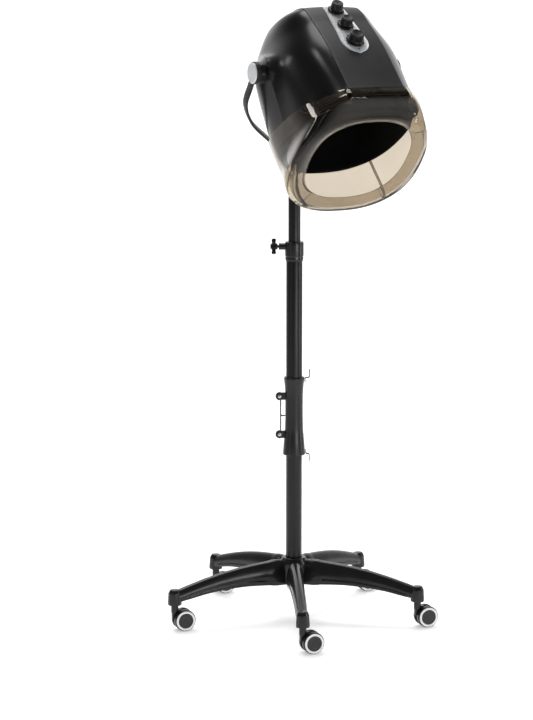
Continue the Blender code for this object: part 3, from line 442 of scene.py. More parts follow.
def even_turns(point_at, start, end, count, closed=False):
    """Turns that split a section into steps of equal length."""
    samples = 360
    grid = [start + (end - start) * step / samples for step in range(samples + 1)]
    points = [point_at(turn) for turn in grid]
    lengths = [0.0]
    for first, second in zip(points, points[1:]):
        lengths.append(lengths[-1] + (second - first).length)
    result, index = [], 0
    for step in range(count if closed else count + 1):
        target = lengths[-1] * step / count
        while index < samples - 1 and lengths[index + 1] < target:
            index += 1
        share = (target - lengths[index]) / max(lengths[index + 1] - lengths[index], 1e-9)
        result.append(grid[index] + (grid[index + 1] - grid[index]) * min(max(share, 0.0), 1.0))
    return result


def edge_reach(height, back, x=BAND_HALF):
    """How far forward the hood's front or back is at a height, over the shells or under the visor."""
    if height >= SHELL_BASE:
        return side_reach(blend_table(SHELL_PROFILE, height), x, back)
    low, high, reach = 0.0, 1.0, 0.0
    for _ in range(24):  # halvings of the visor's wall
        share = (low + high) / 2
        reach = side_reach(blend_table(VISOR_PROFILE, share), x, back)
        above = (1 - share) * SHELL_BASE + share * rim_height(reach) > height
        low, high = (share, high) if above else (low, share)
    return reach


def band_direction(height, back):
    """The way straight out of the band's middle line."""
    step = 0.004
    outward = 1 if back else -1
    slope = (edge_reach(height + step, back) - edge_reach(height - step, back)) / (2 * step)
    return outward * Vector((0, 1, slope)).normalized()


def band_point(height, x, lift=0.0, back=False):
    """Point on the crowned band, lifted off it."""
    crown = BAND_RAISE + BAND_CROWN * (1 - (x / BAND_HALF) ** 2)
    return Vector((x, -edge_reach(height, back), height)) + band_direction(height, back) * (crown + lift)


def band_frame(height, back=False, x=0.0):
    """Matrix that stands a piece on the band."""
    outward = band_direction(height, back)
    bulge = Vector((-2 * BAND_CROWN * x / BAND_HALF ** 2, 0, 0))
    return along((outward - bulge).normalized(), band_point(height, x, 0.0, back))


# ---- hood pieces
def shell_row(height, inside):
    """How a row runs round one side, at a height or, inside the visor, at a share of the way down."""
    if inside is None:
        def at(turn):
            return shell_point(turn, height)

        half_width = blend_table(SHELL_PROFILE, height)[0]
    else:
        def at(turn):
            return visor_point(turn, inside * share_at(turn, SHELL_EDGE))

        half_width = blend_table(VISOR_PROFILE, inside * 0.25)[0]
    limit = acos(min((SHELL_SIDE / half_width) ** (SECTION_POWER / 2), 1.0))
    return at, max(limit, 0.004)


def shell_grid():
    """Rows of points over the right-hand side shell, fine across the panel's edge."""
    front_count, ridge_count, back_count, samples, beyond = 34, 34, 38, 240, 0.01
    rows, crest = [], 0.1608
    specs = [(None, 1.0), (None, 0.75), (None, 0.5), (None, 0.25), (SHELL_BASE, None)]
    for step in range(1, 47):  # closer together towards the crest
        specs.append((SHELL_BASE + (crest - SHELL_BASE) * (1 - (1 - step / 46) ** 1.6), None))
    for height, inside in specs:
        at, limit = shell_row(height, inside)
        points = [at(turn) for turn in even_turns(at, limit, -limit, samples)]
        for end in (0, -1):
            points[end].x = SHELL_SIDE
        total = sum((b - a).length for a, b in zip(points, points[1:]))
        step_length = total / samples
        place = next((index for index, point in enumerate(points)
                      if point.y > blend_table(SIDE_PANEL, point.z)[0]), 200) * step_length
        place = min(max(place, 0.2 * total), 0.85 * total)
        ahead, after = place - min(FLARE, 0.15 * total), place + min(beyond, 0.1 * total)
        marks = [ahead * step / front_count for step in range(front_count)]
        marks += [ahead + (after - ahead) * step / ridge_count for step in range(ridge_count)]
        marks += [after + (total - after) * step / back_count for step in range(back_count + 1)]
        row = []
        for mark in marks:
            exact = min(mark / step_length, samples - 0.0001)
            index = int(exact)
            row.append((points[index].lerp(points[index + 1], exact - index), mark - place))
        rows.append(row)
    return rows


def shell_normal(rows, r, c):
    """The way out of the shell at one point of its grid."""
    row = rows[r]
    up = rows[min(r + 1, len(rows) - 1)][c][0] - rows[max(r - 1, 0)][c][0]
    across = row[min(c + 1, len(row) - 1)][0] - row[max(c - 1, 0)][0]
    normal = across.cross(up)
    normal = normal.normalized() if normal.length > 1e-12 else Vector((1, 0, 0))
    return -normal if normal.x < 0 else normal


def build_shells():
    rows = shell_grid()
    moved = []
    for r, row in enumerate(rows):
        line = []
        for c, (point, past) in enumerate(row):
            raised = blend_table(SIDE_PANEL, point.z)[1]
            rise = min(max((past + FLARE) / FLARE, 0.0), 1.0) ** 2.4
            rise *= 1 - smooth_step((past - 0.06) / 0.11)
            line.append(point + shell_normal(rows, r, c) * raised * rise)
        moved.append(line)
    for side, name in ((1, "right"), (-1, "left")):
        bm = bmesh.new()
        grid = [[bm.verts.new((side * p.x, p.y, p.z)) for p in line] for line in moved]
        for first, second in zip(grid, grid[1:]):
            for c in range(len(first) - 1):
                bm.faces.new((first[c], first[c + 1], second[c + 1], second[c]))
        bmesh.ops.remove_doubles(bm, verts=bm.verts, dist=2e-5)
        bmesh.ops.recalc_face_normals(bm, faces=bm.faces)
        if sum((f.normal.x * f.calc_area() for f in bm.faces)) * side < 0:
            bmesh.ops.reverse_faces(bm, faces=bm.faces)
        bmesh.ops.solidify(bm, geom=bm.faces[:], thickness=SHELL_WALL)
        skin(f"side_shell_{name}", bm, "gloss", HOOD, 50)


def places_across(half, columns):
    """Places across a strip, closer together towards its sides."""
    return [half * sin(pi / 2 * (2 * column / columns - 1)) for column in range(columns + 1)]


def strip_sheet(half, rows, columns, edge):
    """Closed sheet along (height, back) rows, bulged like the band, its side edges rounded by edge."""
    rings = []
    for height, back in rows:
        outer, inner = [], []
        for x in places_across(half, columns):
            inside = max(edge - (half - abs(x)), 0.0)
            drop = edge - sqrt(max(edge ** 2 - inside ** 2, 0.0))
            outer.append(band_point(height, x, -drop, back))
            inner.append(band_point(height, x, -SHELL_WALL, back))
        rings.append(outer + inner[::-1])
    return loft(rings)


def build_band():
    crest = 0.1603
    front = [BAND_EDGE + (crest - BAND_EDGE) * (1 - (1 - step / 56) ** 1.5) for step in range(57)]
    rows = [(height, False) for height in front] + [(height, True) for height in front[::-1]]
    opening = box((-0.0465, 0.14, GRILLE_LOW - 0.0015), (0.0465, 0.3, GRILLE_HIGH + 0.0015))
    band = boolean(strip_sheet(BAND_HALF - 0.00035, rows, 28, 0.0016), opening, "DIFFERENCE")
    skin("centre_band", band, "satin", HOOD, 40)
    rows = [(GRILLE_LOW + (GRILLE_HIGH - GRILLE_LOW) * step / 20, True) for step in range(21)]
    grille = strip_sheet(0.045, rows, 16, 0.0012)
    for slot in range(5):
        low = GRILLE_LOW + 0.01 + slot * 0.0155
        cut = box((-0.037, 0.14, low), (0.037, 0.3, low + 0.008), 0.0016, 2)
        grille = boolean(grille, cut, "DIFFERENCE")
    make("rear_grille_skin", grille, "rear_air_grille", "satin", ["rear_air_grille"], HOOD)
    gland = turned([
        (0.004, -0.008), (0.0067, -0.008), (0.0067, 0.0003), (0.0105, 0.0003), (0.0105, 0.004),
        (0.0075, 0.016), (0.004, 0.016)], 0.0012, 4, 40, loop=True)
    skin("cable_gland", gland, "matte", HOOD @ band_frame(-0.09, True, 0.045))


def plate_half(height):
    """Half width of the control plate: straight narrowing sides, round lower end drawn out to a point."""
    centre = PLATE_TIP + PLATE_HALF * PLATE_POINT
    if height < centre:
        start = acos(1 / PLATE_POINT)
        tangent_height = centre - PLATE_HALF * cos(start)
        if height < tangent_height:
            return (height - PLATE_TIP) * PLATE_HALF * sin(start) / (tangent_height - PLATE_TIP)
        return sqrt(max(PLATE_HALF ** 2 - (centre - height) ** 2, 0.0))
    share = (height - centre) / (PLATE_TOP - centre)
    straight = PLATE_HALF * (1 - PLATE_TAPER * share)
    rounding = max(height - (PLATE_TOP - 0.01), 0.0)
    return straight - (0.01 - sqrt(max(0.01 ** 2 - rounding ** 2, 0.0)))


def build_plate():
    rows = []
    steps, columns = 84, 30
    for step in range(steps + 1):
        share = 0.5 - 0.5 * cos(pi * step / steps)
        height = PLATE_TIP + (PLATE_TOP - PLATE_TIP) * share
        half = max(plate_half(height), 0.00012)
        outer, inner = [], []
        for x in places_across(half, columns):
            inset = min(half - abs(x), (height - PLATE_TIP) * 0.6, PLATE_TOP - height)
            lift = 0.0003 + 0.0021 * sqrt(smooth_step(inset / 0.0016))  # rounded edge
            lift -= 0.0007 * smooth_step((inset - 0.0026) / 0.001)  # step down to the face
            outer.append(band_point(height, x, lift))
            inner.append(band_point(height, x, 0.0001))
        rows.append(outer + inner[::-1])
    skin("control_plate", loft(rows), "silver", HOOD)


def build_ticks():
    """Scale round each knob, eleven marks with every fifth one longer."""
    ticks = bmesh.new()
    for _, height, skirt, _ in KNOBS:
        spot = band_frame(height)
        for tick in range(11):
            turn = radians(225 - 27 * tick)
            long = 0.004 if tick % 5 == 0 else 0.0026
            place = Matrix.Rotation(turn, 4, "Z") @ Matrix.Translation((skirt + 0.0022 + long / 2, 0, 0.002))
            size = Matrix.Diagonal((long, 0.0006, 0.0008, 1))
            centre = spot @ place @ Vector((0, 0, 0))
            if abs(centre.x) + long / 2 < plate_half(centre.z) - 0.0034:
                bmesh.ops.create_cube(ticks, size=1.0, matrix=spot @ place @ size)
    make("scale_ticks", ticks, "control_plate", "tick", (), HOOD)


def build_lens():
    profile = [(0, -0.004), (0.0028, -0.004), (0.0028, 0.0026), (0.0016, 0.004), (0, 0.0043)]
    lens = turned(profile, 0.001, 5, 32)
    skin("indicator_lens", lens, "lens", HOOD @ band_frame(LENS_HEIGHT))


def build_knobs():
    for name, height, skirt, cap in KNOBS:
        low, tall = 0.0036, 0.0254
        top = low + tall
        profile = [
            (0, -0.012), (0.003, -0.012), (0.003, low), (skirt, low), (skirt, low + 0.0022),
            (skirt - 0.003, low + 0.005), (cap + 0.0008, low + 0.0062), (cap, low + 0.008),
            (cap - 0.0012, top - 0.003), (cap - 0.0022, top), (cap * 0.62, top),
            (cap * 0.58, top - 0.0009), (0, top - 0.001)]

        def flutes(turn, radius, at):
            share = smooth_step((at - low - 0.0075) / 0.003) * smooth_step((top - 0.001 - at) / 0.002)
            if radius < cap * 0.8:
                return 0.0
            return -0.0007 * share * (0.5 + 0.5 * cos(16 * turn)) ** 2

        knob = lathe(soften(profile, 0.0011, 4), 128, flutes)
        pointer = box((-0.0016, 0.002, top - 0.002), (0.0016, cap - 0.0022, top - 0.0001), 0.0007)
        skin(name, boolean(knob, pointer), "knob", HOOD @ band_frame(height))


def drum_rings(places, shrink=0.0):
    """Rings of the drum's wall from its mouth up, moved in and down by shrink."""
    low, high = DRUM_PROFILE[0][0], DRUM_PROFILE[-1][0]
    rings = []
    for place in places:
        height = low + place * (high - low)
        values = [value - shrink for value in blend_table(DRUM_PROFILE, height)]
        ring = []
        for step in range(112):
            x, reach = section_point(2 * pi * (step + 0.5) / 112, values)
            slant = DRUM_SLOPE * reach * (1 - place) ** 3
            ring.append(Vector((x, -reach, height + slant - shrink * place)))
        rings.append(ring)
    return rings


def build_drum():
    places = [1 - (1 - step / 34) ** 1.5 for step in range(35)]
    lowest = drum_rings([0.0], DRUM_WALL / 2)[0]
    edge = [point - Vector((0, 0, 0.001)) for point in lowest]
    rings = [*drum_rings(places)[::-1], edge, *drum_rings(places, DRUM_WALL)]
    skin("inner_drum", loft(rings, closed=True), "matte", HOOD, 60)


def build_visor():
    halfway = blend_table(VISOR_PROFILE, 0.5)
    turns = even_turns(lambda turn: Vector(section_point(turn, halfway)), 0.0, 2 * pi, 168, closed=True)

    def wall(scale, places):
        return [[visor_point(turn, place, scale) for turn in turns] for place in places]

    rings = wall(VISOR_OUTER, [0.004, 0.02] + [0.05 + 0.88 * step / 26 for step in range(27)])
    inside = [(1.0, 0.0064, 0.0006), (0.96, 0.0066, 0.0012), (0.8, 0.0022), (0.5, -0.0014), (0.3, -0.002)]
    rings += [[lip_point(turn, *place) for turn in turns] for place in LIP + inside]
    rings += wall(VISOR_INNER, [0.915, 0.88] + [0.84 - 0.82 * step / 24 for step in range(25)] + [0.004])
    visor = skin("visor", loft(rings, closed=True), "visor", HOOD, 60)
    lip = visor.data.attributes.new("lip", "FLOAT", "POINT")
    to_hood = HOOD.inverted()
    for vertex, value in zip(visor.data.vertices, lip.data):
        point = to_hood @ vertex.co
        above = point.z + RIM_DEPTH + RIM_SLOPE * point.y
        value.value = 1 - smooth_step((above - 0.004) / 0.012)  # ends 16 mm above the rim


def ribbon(path, side, near, far, half):
    """Closed strip along (point, outward) pairs."""
    section = ((-1, near), (1, near), (1, far * 0.8), (0.85, far), (-0.85, far), (-1, far * 0.8))
    return loft([[point + side * a * half + outward * b for a, b in section] for point, outward in path])


def build_joints():
    """Strips that join the visor's parts on its inside, each with a rib on both edges."""
    scale = VISOR_INNER - 0.002
    parts = (("strip", "visor", 0.0, 0.0034, 0.001), ("rear_rib", "joint", -0.0026, 0.0008, 0.002),
             ("front_rib", "joint", 0.0026, 0.0008, 0.002))
    for side, name in ((-1, "left"), (1, "right")):
        for label, material, shift, half, rise in parts:
            path = []
            for step in range(22):
                share = 0.16 + 0.8 * step / 21
                turn = radians(-38.0 - 12.0 * max((share - 0.28) / 0.72, 0.0) ** 2)
                point = visor_point(turn, share, scale)
                beside = visor_point(turn + 0.02, share, scale) - point
                ahead = visor_point(turn, share + 0.01, scale) - point
                inward = beside.cross(ahead).normalized()
                if inward.x > 0:
                    inward = -inward
                point = point + beside.normalized() * shift
                point.x, inward.x = side * point.x, side * inward.x
                path.append((point, inward))
            beside = Vector((side * beside.x, beside.y, beside.z)).normalized()
            node = f"visor_joint_{name}"
            whole = [node] if label == "strip" else ()
            make(f"{node}_{label}", ribbon(path, beside, 0.0, rise, half), node, material, whole, HOOD)


def build_seams():
    """Fine seams that cross the visor's lip."""
    middle, wall_points = Vector((0, 0, -0.25)), 9
    for number, degrees in enumerate((40.0, 186.0, 310.0, 230.0), 1):
        turn = radians(degrees)
        outline = [visor_point(turn, 0.86 + 0.012 * step, VISOR_OUTER) for step in range(6)]
        outline += [lip_point(turn, share, lift) for share, lift in LIP]
        beside = visor_point(turn + 0.01, 1.0, VISOR_OUTER) - visor_point(turn - 0.01, 1.0, VISOR_OUTER)
        beside.normalize()
        path = []
        for index, (point, ahead) in enumerate(zip(outline, directions(outline))):
            outward = beside.cross(ahead).normalized()
            inverted = outward.dot(point - middle) < 0 if index < wall_points else outward.z > 0
            path.append((point, -outward if inverted else outward))
        make(f"lip_seam_{number}", ribbon(path, beside, -0.0006, 0.0004, 0.0007), "visor", "joint", (), HOOD)


def front_point(x, height, lift):
    """Point on the hood's front, over the band or beside it."""
    if abs(x) <= BAND_HALF:
        return band_point(height, x, lift)
    return Vector((x, -edge_reach(height, False, abs(x)) - lift, height))


def rib_runs(radius):
    """Stretches of one flattened arc that lie on the band and beside it, clear of their joint."""
    runs = [[]]
    for step in range(61):
        turn = radians(3 * step)
        x, height = RIB_CENTRE[0] - 1.05 * radius * cos(turn), RIB_CENTRE[1] - 0.9 * radius * sin(turn)
        lowest = (BAND_EDGE if x < BAND_HALF else SHELL_EDGE) + 0.003
        if height < lowest or abs(x - BAND_HALF) < 0.0015:
            runs.append([])
        else:
            runs[-1].append(front_point(x, height, 0.0002))
    return [run for run in runs if len(run) > 3]


def build_ribs():
    """Fine curved ribs round the lower corner of the band, under the visor."""
    section = ((-0.0006, -0.0006), (0.0006, -0.0006), (0.0004, 0.0005), (-0.0004, 0.0005))
    outward = Vector((0, -1, 0))
    for side, name in ((-1, "left"), (1, "right")):
        bm = bmesh.new()
        for arc in range(19):
            for run in rib_runs(0.012 + 0.0034 * arc):
                run = [Vector((side * point.x, point.y, point.z)) for point in run]
                rings = []
                for spot, ahead in zip(run, directions(run)):
                    across = ahead.normalized().cross(outward).normalized()
                    rings.append([spot + across * a + outward * b for a, b in section])
                loft(rings, bm=bm)
        make(f"outlet_ribs_{name}", bm, f"side_shell_{name}", "rib", (), HOOD)


# ---- stand pieces
def arm_rings(turn):
    """Sections of one arm; each is (side, height) as shares of its half width and height."""
    outline = [
        (0.0, 1.0), (0.18, 0.995), (0.36, 0.965), (0.54, 0.9), (0.7, 0.8), (0.83, 0.67), (0.92, 0.53),
        (0.98, 0.4), (0.975, 0.335), (0.9, 0.315), (0.875, 0.27), (0.9, 0.225), (0.975, 0.205),
        (1.0, 0.16), (0.985, 0.06), (0.93, 0.0), (0.6, 0.0), (0.3, 0.0)]
    section = outline + [(0.0, 0.0)] + [(-side, height) for side, height in reversed(outline[1:])]
    stations = [  # reach, top, bottom, half width
        (0.03, 0.176, 0.1095, 0.0215), (0.06, 0.179, 0.1095, 0.0238), (0.078, 0.1777, 0.1105, 0.0228),
        (0.15, 0.1695, 0.113, 0.0203), (0.21, 0.1595, 0.11, 0.0188), (0.27, 0.1455, 0.103, 0.0178),
        (0.32, 0.131, 0.093, 0.017), (0.358, 0.119, 0.086, 0.0165)]
    start, end = stations[0][0], stations[-1][0]
    rings = []
    for step in range(56):
        reach = start + (end - start) * step / 55
        top, bottom, half = blend_table(stations, reach)
        collar = smooth_step((0.08 - reach) / 0.004)  # fuller beside the hub
        groove = smooth_step((reach - 0.088) / 0.014) * smooth_step((0.338 - reach) / 0.02)
        ring = []
        for side, share in section:
            shape = abs(side)
            if 0.2 < share < 0.36 and shape > 0.8:  # the groove is filled at both ends of the arm
                shape += (0.985 - shape) * (1 - groove)
            wide = half * (1 + 0.05 * collar) * copysign(shape, side)
            height = bottom - 0.0008 * collar + share * (top - bottom + 0.0022 * collar)
            ring.append(turn @ Vector((reach, wide, height)))
        rings.append(ring)
    return rings


def socket_facets(angle, radius, height):
    return -0.0007 * (0.5 + 0.5 * cos(8 * angle)) * smooth_step((radius - 0.012) / 0.006)


def build_base():
    base = turned([
        (0.0235, 0.185), (0.0332, 0.185), (0.0415, 0.169), (0.0415, 0.113), (0.0382, 0.107),
        (0.0105, 0.107), (0.0105, 0.109), (0.0053, 0.109), (0.0053, 0.112), (0.0235, 0.112)],
        0.0025, loop=True)
    socket = soften([
        (0, 0.079), (0.009, 0.079), (0.0096, 0.076), (0.02, 0.076), (0.0201, 0.086),
        (0.0182, 0.111), (0.013, 0.1205), (0.006, 0.1215), (0, 0.1215)], 0.0022, 4)
    for arm in range(STAR_ARMS):
        turn = Matrix.Rotation(STAR_ANGLE + arm * 2 * pi / STAR_ARMS, 4, "Z")
        base = boolean(base, loft(arm_rings(turn)))
        cap = lathe(socket, 64, socket_facets)
        cap.transform(turn @ Matrix.Translation((STEM_CIRCLE, 0, 0)))
        base = boolean(base, cap)
    skin("star_base", base, "nylon", STAND, 32)


def caster_housing(across):
    """Stem, web between the wheels and axle; across is where the axle lies."""
    half = WHEEL_INSET - 0.0006
    post = turned([
        (0, 0.054), (0.0105, 0.054), (0.0105, 0.0755), (0.0055, 0.0757), (0.0055, 0.105), (0, 0.105)],
        0.0012, 3, 40)
    web = tube(0, WHEEL_RADIUS - 0.003, -half, half, 0.0012, 3, 56)
    web.transform(across)
    post = boolean(post, web)
    post = boolean(post, box((-0.0085, 0.0003 - half, 0.036), (0.02, half - 0.0003, 0.0622), 0.0015))
    axle = lathe([(0, -0.019), (0.003, -0.019), (0.003, 0.019), (0, 0.019)], 24)
    axle.transform(across)
    return boolean(post, axle)


def build_wheel(node, place):
    """Tread, white ring and disc of one wheel; face is the height of its outer side."""
    face = WHEEL_WIDTH - 0.0032
    tread = turned([
        (0, 0.0128), (0.0033, 0.0128), (0.0033, 0.0), (WHEEL_RADIUS, 0.0), (WHEEL_RADIUS, face - 0.0033),
        (0.0294, face + 0.0008), (0.0282, face + 0.0014), (0.0282, face + 0.0002), (0, face + 0.0002)],
        0.001)
    make(f"{node}_tread", tread, node, "tread", [node], place)
    ring = turned([
        (0.0218, face), (0.0281, face), (0.028, face + 0.0014), (0.0255, face + 0.0023),
        (0.0222, face + 0.0025), (0.0218, face + 0.002)], 0.0006, 3, loop=True)
    make(f"{node}_ring", ring, node, "ring", (), place)
    disc = turned([
        (0, face), (0.0215, face), (0.0215, face + 0.0018), (0.0196, face + 0.0027), (0.006, face + 0.002),
        (0.005, face + 0.0028), (0, face + 0.0029)], 0.0008, 3, 64)
    make(f"{node}_disc", disc, node, "disc", (), place)


def build_casters():
    across = along((0, 1, 0), (CASTER_TRAIL, 0, WHEEL_RADIUS))
    for number in range(1, STAR_ARMS + 1):
        angle = STAR_ANGLE + (number - 1) * 2 * pi / STAR_ARMS
        stem = STAND @ Matrix.Translation((STEM_CIRCLE * cos(angle), STEM_CIRCLE * sin(angle), 0))
        stem = stem @ Matrix.Rotation(CASTER_ANGLE, 4, "Z")
        skin(f"caster_{number}_housing", caster_housing(across), "nylon", stem)
        for side, direction in (("left", 1), ("right", -1)):
            place = stem @ along((0, direction, 0), (CASTER_TRAIL, direction * WHEEL_INSET, WHEEL_RADIUS))
            build_wheel(f"caster_{number}_wheel_{side}", place)


def build_column():
    skin("lower_tube", tube(0.0215, 0.023, 0.1123, 1.08, 0.0005, 3), "paint", STAND)
    skin("upper_tube", tube(0.0157, 0.0172, 0.73, 1.315, 0.0005, 3), "paint", STAND)
    ring = turned([
        (0.0233, 1.048), (0.0248, 1.048), (0.0258, 1.054), (0.0254, 1.061), (0.0266, 1.063),
        (0.0266, 1.092), (0.0262, 1.103), (0.0175, 1.103), (0.0175, 1.0803), (0.0233, 1.0803)],
        0.0014, loop=True)
    side = along((-cos(SLEEVE_ANGLE), -sin(SLEEVE_ANGLE), 0), (0, 0, 1.089))
    boss = turned([
        (0.0044, 0.024), (0.01, 0.024), (0.0095, 0.032), (0.0095, 0.0444), (0.0044, 0.0444)],
        0.001, 4, 48, loop=True)
    boss.transform(side)
    skin("clamp_collar", boolean(ring, boss), "nylon", STAND)
    shank = turned([
        (0, 0.0178), (0.004, 0.0178), (0.004, 0.0478), (0.0088, 0.0478), (0.0094, 0.05),
        (0.007, 0.054), (0.0078, 0.066), (0.006, 0.0684), (0, 0.0685)], 0.0012, 4, 48)
    wing = turned([
        (0, -0.0225), (0.006, -0.0225), (0.0066, -0.018), (0.0052, -0.012), (0.0082, -0.004),
        (0.0082, 0.004), (0.0052, 0.012), (0.0066, 0.018), (0.006, 0.0225), (0, 0.0225)], 0.002, 4, 40)
    wing.transform(Matrix.Translation((0, 0, 0.0585)) @ along((1, 0, 0)))
    skin("height_screw", boolean(shank, wing), "nylon", STAND @ side)


def build_grip():
    screws = {"upper_lug_screw": 0.6572, "lower_lug_screw": 0.5458}
    sleeve = turned([
        (0.0233, 0.487), (0.0308, 0.487), (0.0323, 0.489), (0.03, 0.52), (0.0264, 0.56),
        (0.0254, 0.6), (0.0254, 0.66), (0.0268, 0.685), (0.0296, 0.7106), (0.0284, 0.7136),
        (0.0233, 0.7136)], 0.006, 5, 72, loop=True)
    for height in screws.values():
        lug = tube(0, 0.0118, -0.0055, 0.0055, 0.0014, 4, 40)
        lug.transform(along((0, 1, 0), (-LUG_REACH, 0, height)))
        web = box((-LUG_REACH, -0.0055, height - 0.0105), (-0.0241, 0.0055, height + 0.0105), 0.0012)
        sleeve = boolean(sleeve, boolean(lug, web))
    skin("grip_sleeve", sleeve, "nylon", SLEEVE)
    for name, height in screws.items():
        head = turned([
            (0, -0.0085), (0.004, -0.0085), (0.004, -0.0056), (0.0025, -0.0055), (0.0025, 0.0058),
            (0.0052, 0.0058), (0.005, 0.0082), (0, 0.009)], 0.0008, 4, 36)
        slot = box((-0.0045, -0.0005, 0.0078), (0.0045, 0.0005, 0.01))
        place = SLEEVE @ along((0, -1, 0), (-LUG_REACH, 0, height))
        skin(name, boolean(head, slot, "DIFFERENCE"), "steel", place)
    rod = tube(0, 0.0019, 0.5579, 0.6451, 0.0008, 3, 28)
    rod.transform(Matrix.Translation((-0.0385, 0, 0)))
    rod = boolean(rod, box((-0.0385, -0.0018, 0.599), (-0.0258, 0.0018, 0.6026), 0.0006))
    skin("tie_rod", rod, "paint", SLEEVE)


def build_hooks():
    """Flat hooks for winding a cord; rise is how far the tip stands above or below the foot."""
    half, reach = 0.0013, 0.0452
    section = ((-1, -0.8), (-0.7, -1), (0.7, -1), (1, -0.8), (1, 0.8), (0.7, 1), (-0.7, 1), (-1, 0.8))
    hooks = (("upper_cord_hook", 0.7105, 0.0255, 0.03), ("lower_cord_hook", 0.4905, -0.024, 0.0327))
    for name, height, rise, wall in hooks:
        up = copysign(1, rise)
        corners = [(wall + half, height - up * 0.012), (wall + half, height + up * half),
                   (reach - half, height + up * half), (reach - half, height + rise)]
        path = [Vector(point) for point in soften(corners, 0.004, 7)]
        rings = []
        for (x, z), ahead in zip(path, directions(path)):
            square = Vector((-ahead.y, ahead.x)).normalized() * half
            rings.append([Vector((x + square.x * a, b * 0.005, z + square.y * a)) for a, b in section])
        skin(name, loft(rings), "paint", SLEEVE)


def yoke_path(half, depth):
    """Smooth curve from one eye round the foot to the other, in the yoke's own plane."""
    reach = [(half, 0.0), (half - 0.0015, 0.05), (half - 0.0065, 0.115), (half - 0.045, 0.182),
             (half - 0.105, 0.238), (half - 0.165, 0.288)]
    path = [Vector((x, y, 0)) for x, y in reach] + [Vector((0, depth, 0))]
    path += [Vector((-point.x, point.y, 0)) for point in reversed(path[:-1])]
    ends = [2 * path[0] - path[1], *path, 2 * path[-1] - path[-2]]
    points = []
    for a, b, c, d in zip(ends, ends[1:], ends[2:], ends[3:]):
        for step in range(10):
            t = step / 10
            points.append(0.5 * (2 * b + (c - a) * t + (2 * a - 5 * b + 4 * c - d) * t ** 2
                                 + (3 * b - a - 3 * c + d) * t ** 3))
    return points + [path[-1]]


def build_yoke():
    foot = Vector((COLUMN.x, COLUMN.y + 0.01, 1.352))
    down, across = (foot - PIVOT).normalized(), Vector((1, 0, 0))
    plane = Matrix((across, down, across.cross(down))).transposed().to_4x4()
    plane = Matrix.Translation(PIVOT) @ plane
    half, thick, wide = 0.214, 0.0085, 0.024
    corner = soften([(-0.5, -0.5), (0.5, -0.5), (0.5, 0.5), (-0.5, 0.5)], 0.3, 5, loop=True)
    points = yoke_path(half, (foot - PIVOT).length)
    rings = []
    for point, ahead in zip(points, directions(points)):
        inward = Vector((-ahead.y, ahead.x, 0)).normalized()
        rings.append([point + inward * (a * thick) + Vector((0, 0, b * wide)) for a, b in corner])
    yoke = loft(rings)
    near, far = half - 0.006, half + 0.006
    for way in (-1, 1):
        eye = tube(0, 0.031, near, far, 0.0018, 4, 64)
        eye.transform(along((way, 0, 0)))
        yoke = boolean(yoke, eye)
    foot_post = tube(0, 0.019, 1.33, 1.354, 0.002, 4, 56)
    foot_post.transform(plane.inverted() @ STAND)
    skin("yoke", boolean(yoke, foot_post), "strap", plane)
    cap = turned([
        (0.0053, 1.32), (0.0175, 1.32), (0.0175, 1.27), (0.0205, 1.27), (0.0215, 1.274),
        (0.0215, 1.327), (0.02, 1.3295), (0.0053, 1.3295)], 0.0015, 4, 64, loop=True)
    skin("yoke_socket", cap, "nylon", STAND)
    for way, name in ((-1, "left"), (1, "right")):
        disc = turned([
            (0, far + 0.0003), (0.0288, far + 0.0003), (0.0288, far + 0.0024), (0.0268, far + 0.0042),
            (0.0222, far + 0.0044), (0.0212, far + 0.0034), (0.012, far + 0.004), (0, far + 0.0046)],
            0.001)
        skin(f"pivot_cap_{name}", disc, "cap", plane @ along((way, 0, 0)))
        barrel = tube(0.0053, 0.03, 0.1715, half - 0.0063, 0.0015)
        skin(f"pivot_hub_{name}", barrel, "nylon", HOOD @ along((way, 0, 0)))


build_shells()
build_band()
build_plate()
build_ticks()
build_lens()
build_knobs()
build_drum()
build_visor()
build_joints()
build_seams()
build_ribs()
build_base()
build_casters()
build_column()
build_grip()
build_hooks()
build_yoke()

# ---- materials of the CAD nodes that stay
KEPT = {
    "nylon": ["tube_plug", "guide_bush"],
    "steel": ["column_bolt", "yoke_bolt", "pivot_bolt_left", "pivot_bolt_right", "fan_motor"],
    "matte": ["timer_body", "thermostat_body", "speed_switch_body", "fan_impeller"],
    "mica": ["heater_frame"],
    "wire": ["heater_coil"],
}
for material, nodes in KEPT.items():
    for node in nodes:
        for slot in frame["nodes"][node].material_slots:
            slot.material = MATERIALS[material]

# ---- stage and light
HEADING = (0.44, 0.898)  # across the floor, from the camera
AWAY = Vector((*HEADING, 0.0)).normalized()


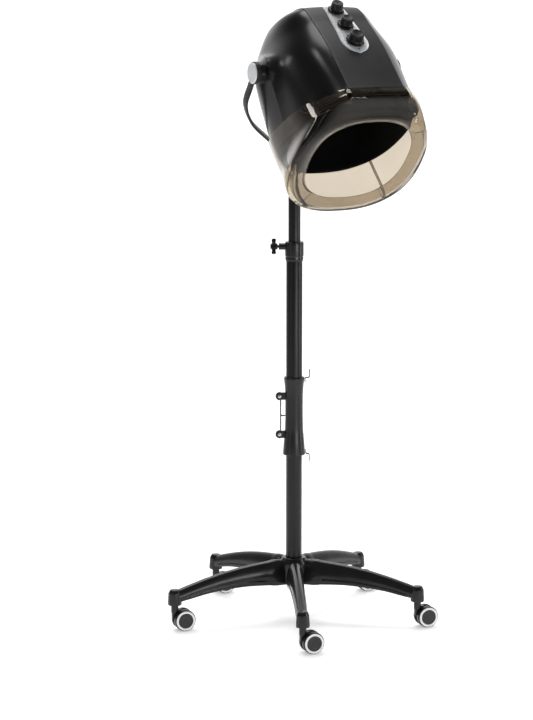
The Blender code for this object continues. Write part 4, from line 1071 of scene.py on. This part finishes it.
def add_floor():
    """Pale floor that glows with painted light, and whose colour and glow fade to grey beside and in front of
    the object, outside the picture.
    """
    bm = bmesh.new()
    bmesh.ops.create_circle(bm, cap_ends=True, segments=64, radius=160.0)
    paper = surface("floor_paper_glow", (0.9, 0.9, 0.9), 0.85, 0.05, 0.01, 300, 0.0, 2)
    tree = paper.node_tree
    place = add_node(tree, "TexCoord", "Object")

    def calculate(operation, first, second=0.0):
        return add_node(tree, "Math", "Value", {0: first, 1: second}, operation=operation)

    depth = distance_along(tree, place, AWAY)
    aside = calculate("ABSOLUTE", distance_along(tree, place, (AWAY.y, -AWAY.x, 0.0)))
    past_edge = calculate("SUBTRACT", aside, calculate("MULTIPLY", calculate("MAXIMUM", depth), 0.13))
    beside = map_range(tree, past_edge, (1.1, 4.2), (1.0, 0.46), "SMOOTHSTEP")
    ahead = map_range(tree, depth, (-6.0, -1.1), (0.36, 0.9), "SMOOTHSTEP")
    level = calculate("MULTIPLY", ahead, beside)
    # painted light: the floor glows at half its level, and colour and glow fall off together as a painted
    # falloff of light
    feed(tree, tree.nodes["Principled BSDF"], {
        "Base Color": level, "Emission Color": (1.0, 1.0, 1.0, 1.0),
        "Emission Strength": calculate("MULTIPLY", level, 0.5)})
    floor = add_object("floor", bm)
    floor.data.materials.append(paper)


def add_world():
    """Studio that is bright behind the object and dim on the camera's side."""
    world = bpy.data.worlds.new("studio")
    world.use_nodes = True
    tree = world.node_tree
    facing = distance_along(tree, add_node(tree, "TexCoord", "Generated"), AWAY)
    level = map_range(tree, facing, (0.25, 0.95), (0.09, 1.35), "SMOOTHSTEP")
    feed(tree, tree.nodes["Background"], {"Color": (1.0, 1.0, 1.0, 1.0), "Strength": level})
    bpy.context.scene.world = world


def aim_light(name, kind, place, aim):
    """A light turned to what it aims at; returns its data."""
    light = add_object(name, bpy.data.lights.new(name, kind))
    light.location = place
    light.rotation_euler = (Vector(aim) - Vector(place)).to_track_quat("-Z", "Y").to_euler()
    return light.data


def area_light(name, place, aim, size, power):
    data = aim_light(name, "AREA", place, aim)
    data.shape, data.size, data.size_y, data.energy = "RECTANGLE", *size, power


add_floor()
add_world()
sky_panel = aim_light("sky_panel", "SUN", (0.0, 0.0, 0.0), (-0.05, -0.3, -0.95))
sky_panel.energy, sky_panel.angle = 2.1, radians(40)
UPPER, MIDDLE, LOWER = (0.0, 0.0, 1.2), (0.0, 0.0, 0.9), (0.0, 0.0, 0.1)
area_light("left_softbox", (-3.55, 2.9, 3.2), UPPER, (0.35, 1.0), 10)
area_light("front_softbox", (-1.75, 0.0, 4.5), UPPER, (0.26, 0.42), 5)
area_light("right_softbox", (3.6, -2.0, 1.6), MIDDLE, (0.5, 3.0), 40)
area_light("left_strip", (-4.2, -1.2, 1.5), MIDDLE, (0.25, 3.0), 7)
area_light("low_strip", (0.6, -4.8, 0.7), LOWER, (2.6, 0.5), 45)
bpy.context.scene.view_settings.view_transform = "Standard"

camera_data = bpy.data.cameras.new("camera")
camera_data.sensor_width, camera_data.lens = 36.0, 125.0
camera_data.clip_end = 400.0
camera = add_object("camera", camera_data)
camera.location = (-3.167, -6.229, 1.962)
pitch = radians(9.66)
look = Vector((*(part * cos(pitch) for part in HEADING), -sin(pitch)))
camera.rotation_euler = look.to_track_quat("-Z", "Y").to_euler()
bpy.context.scene.camera = camera

bpy.context.view_layer.update()
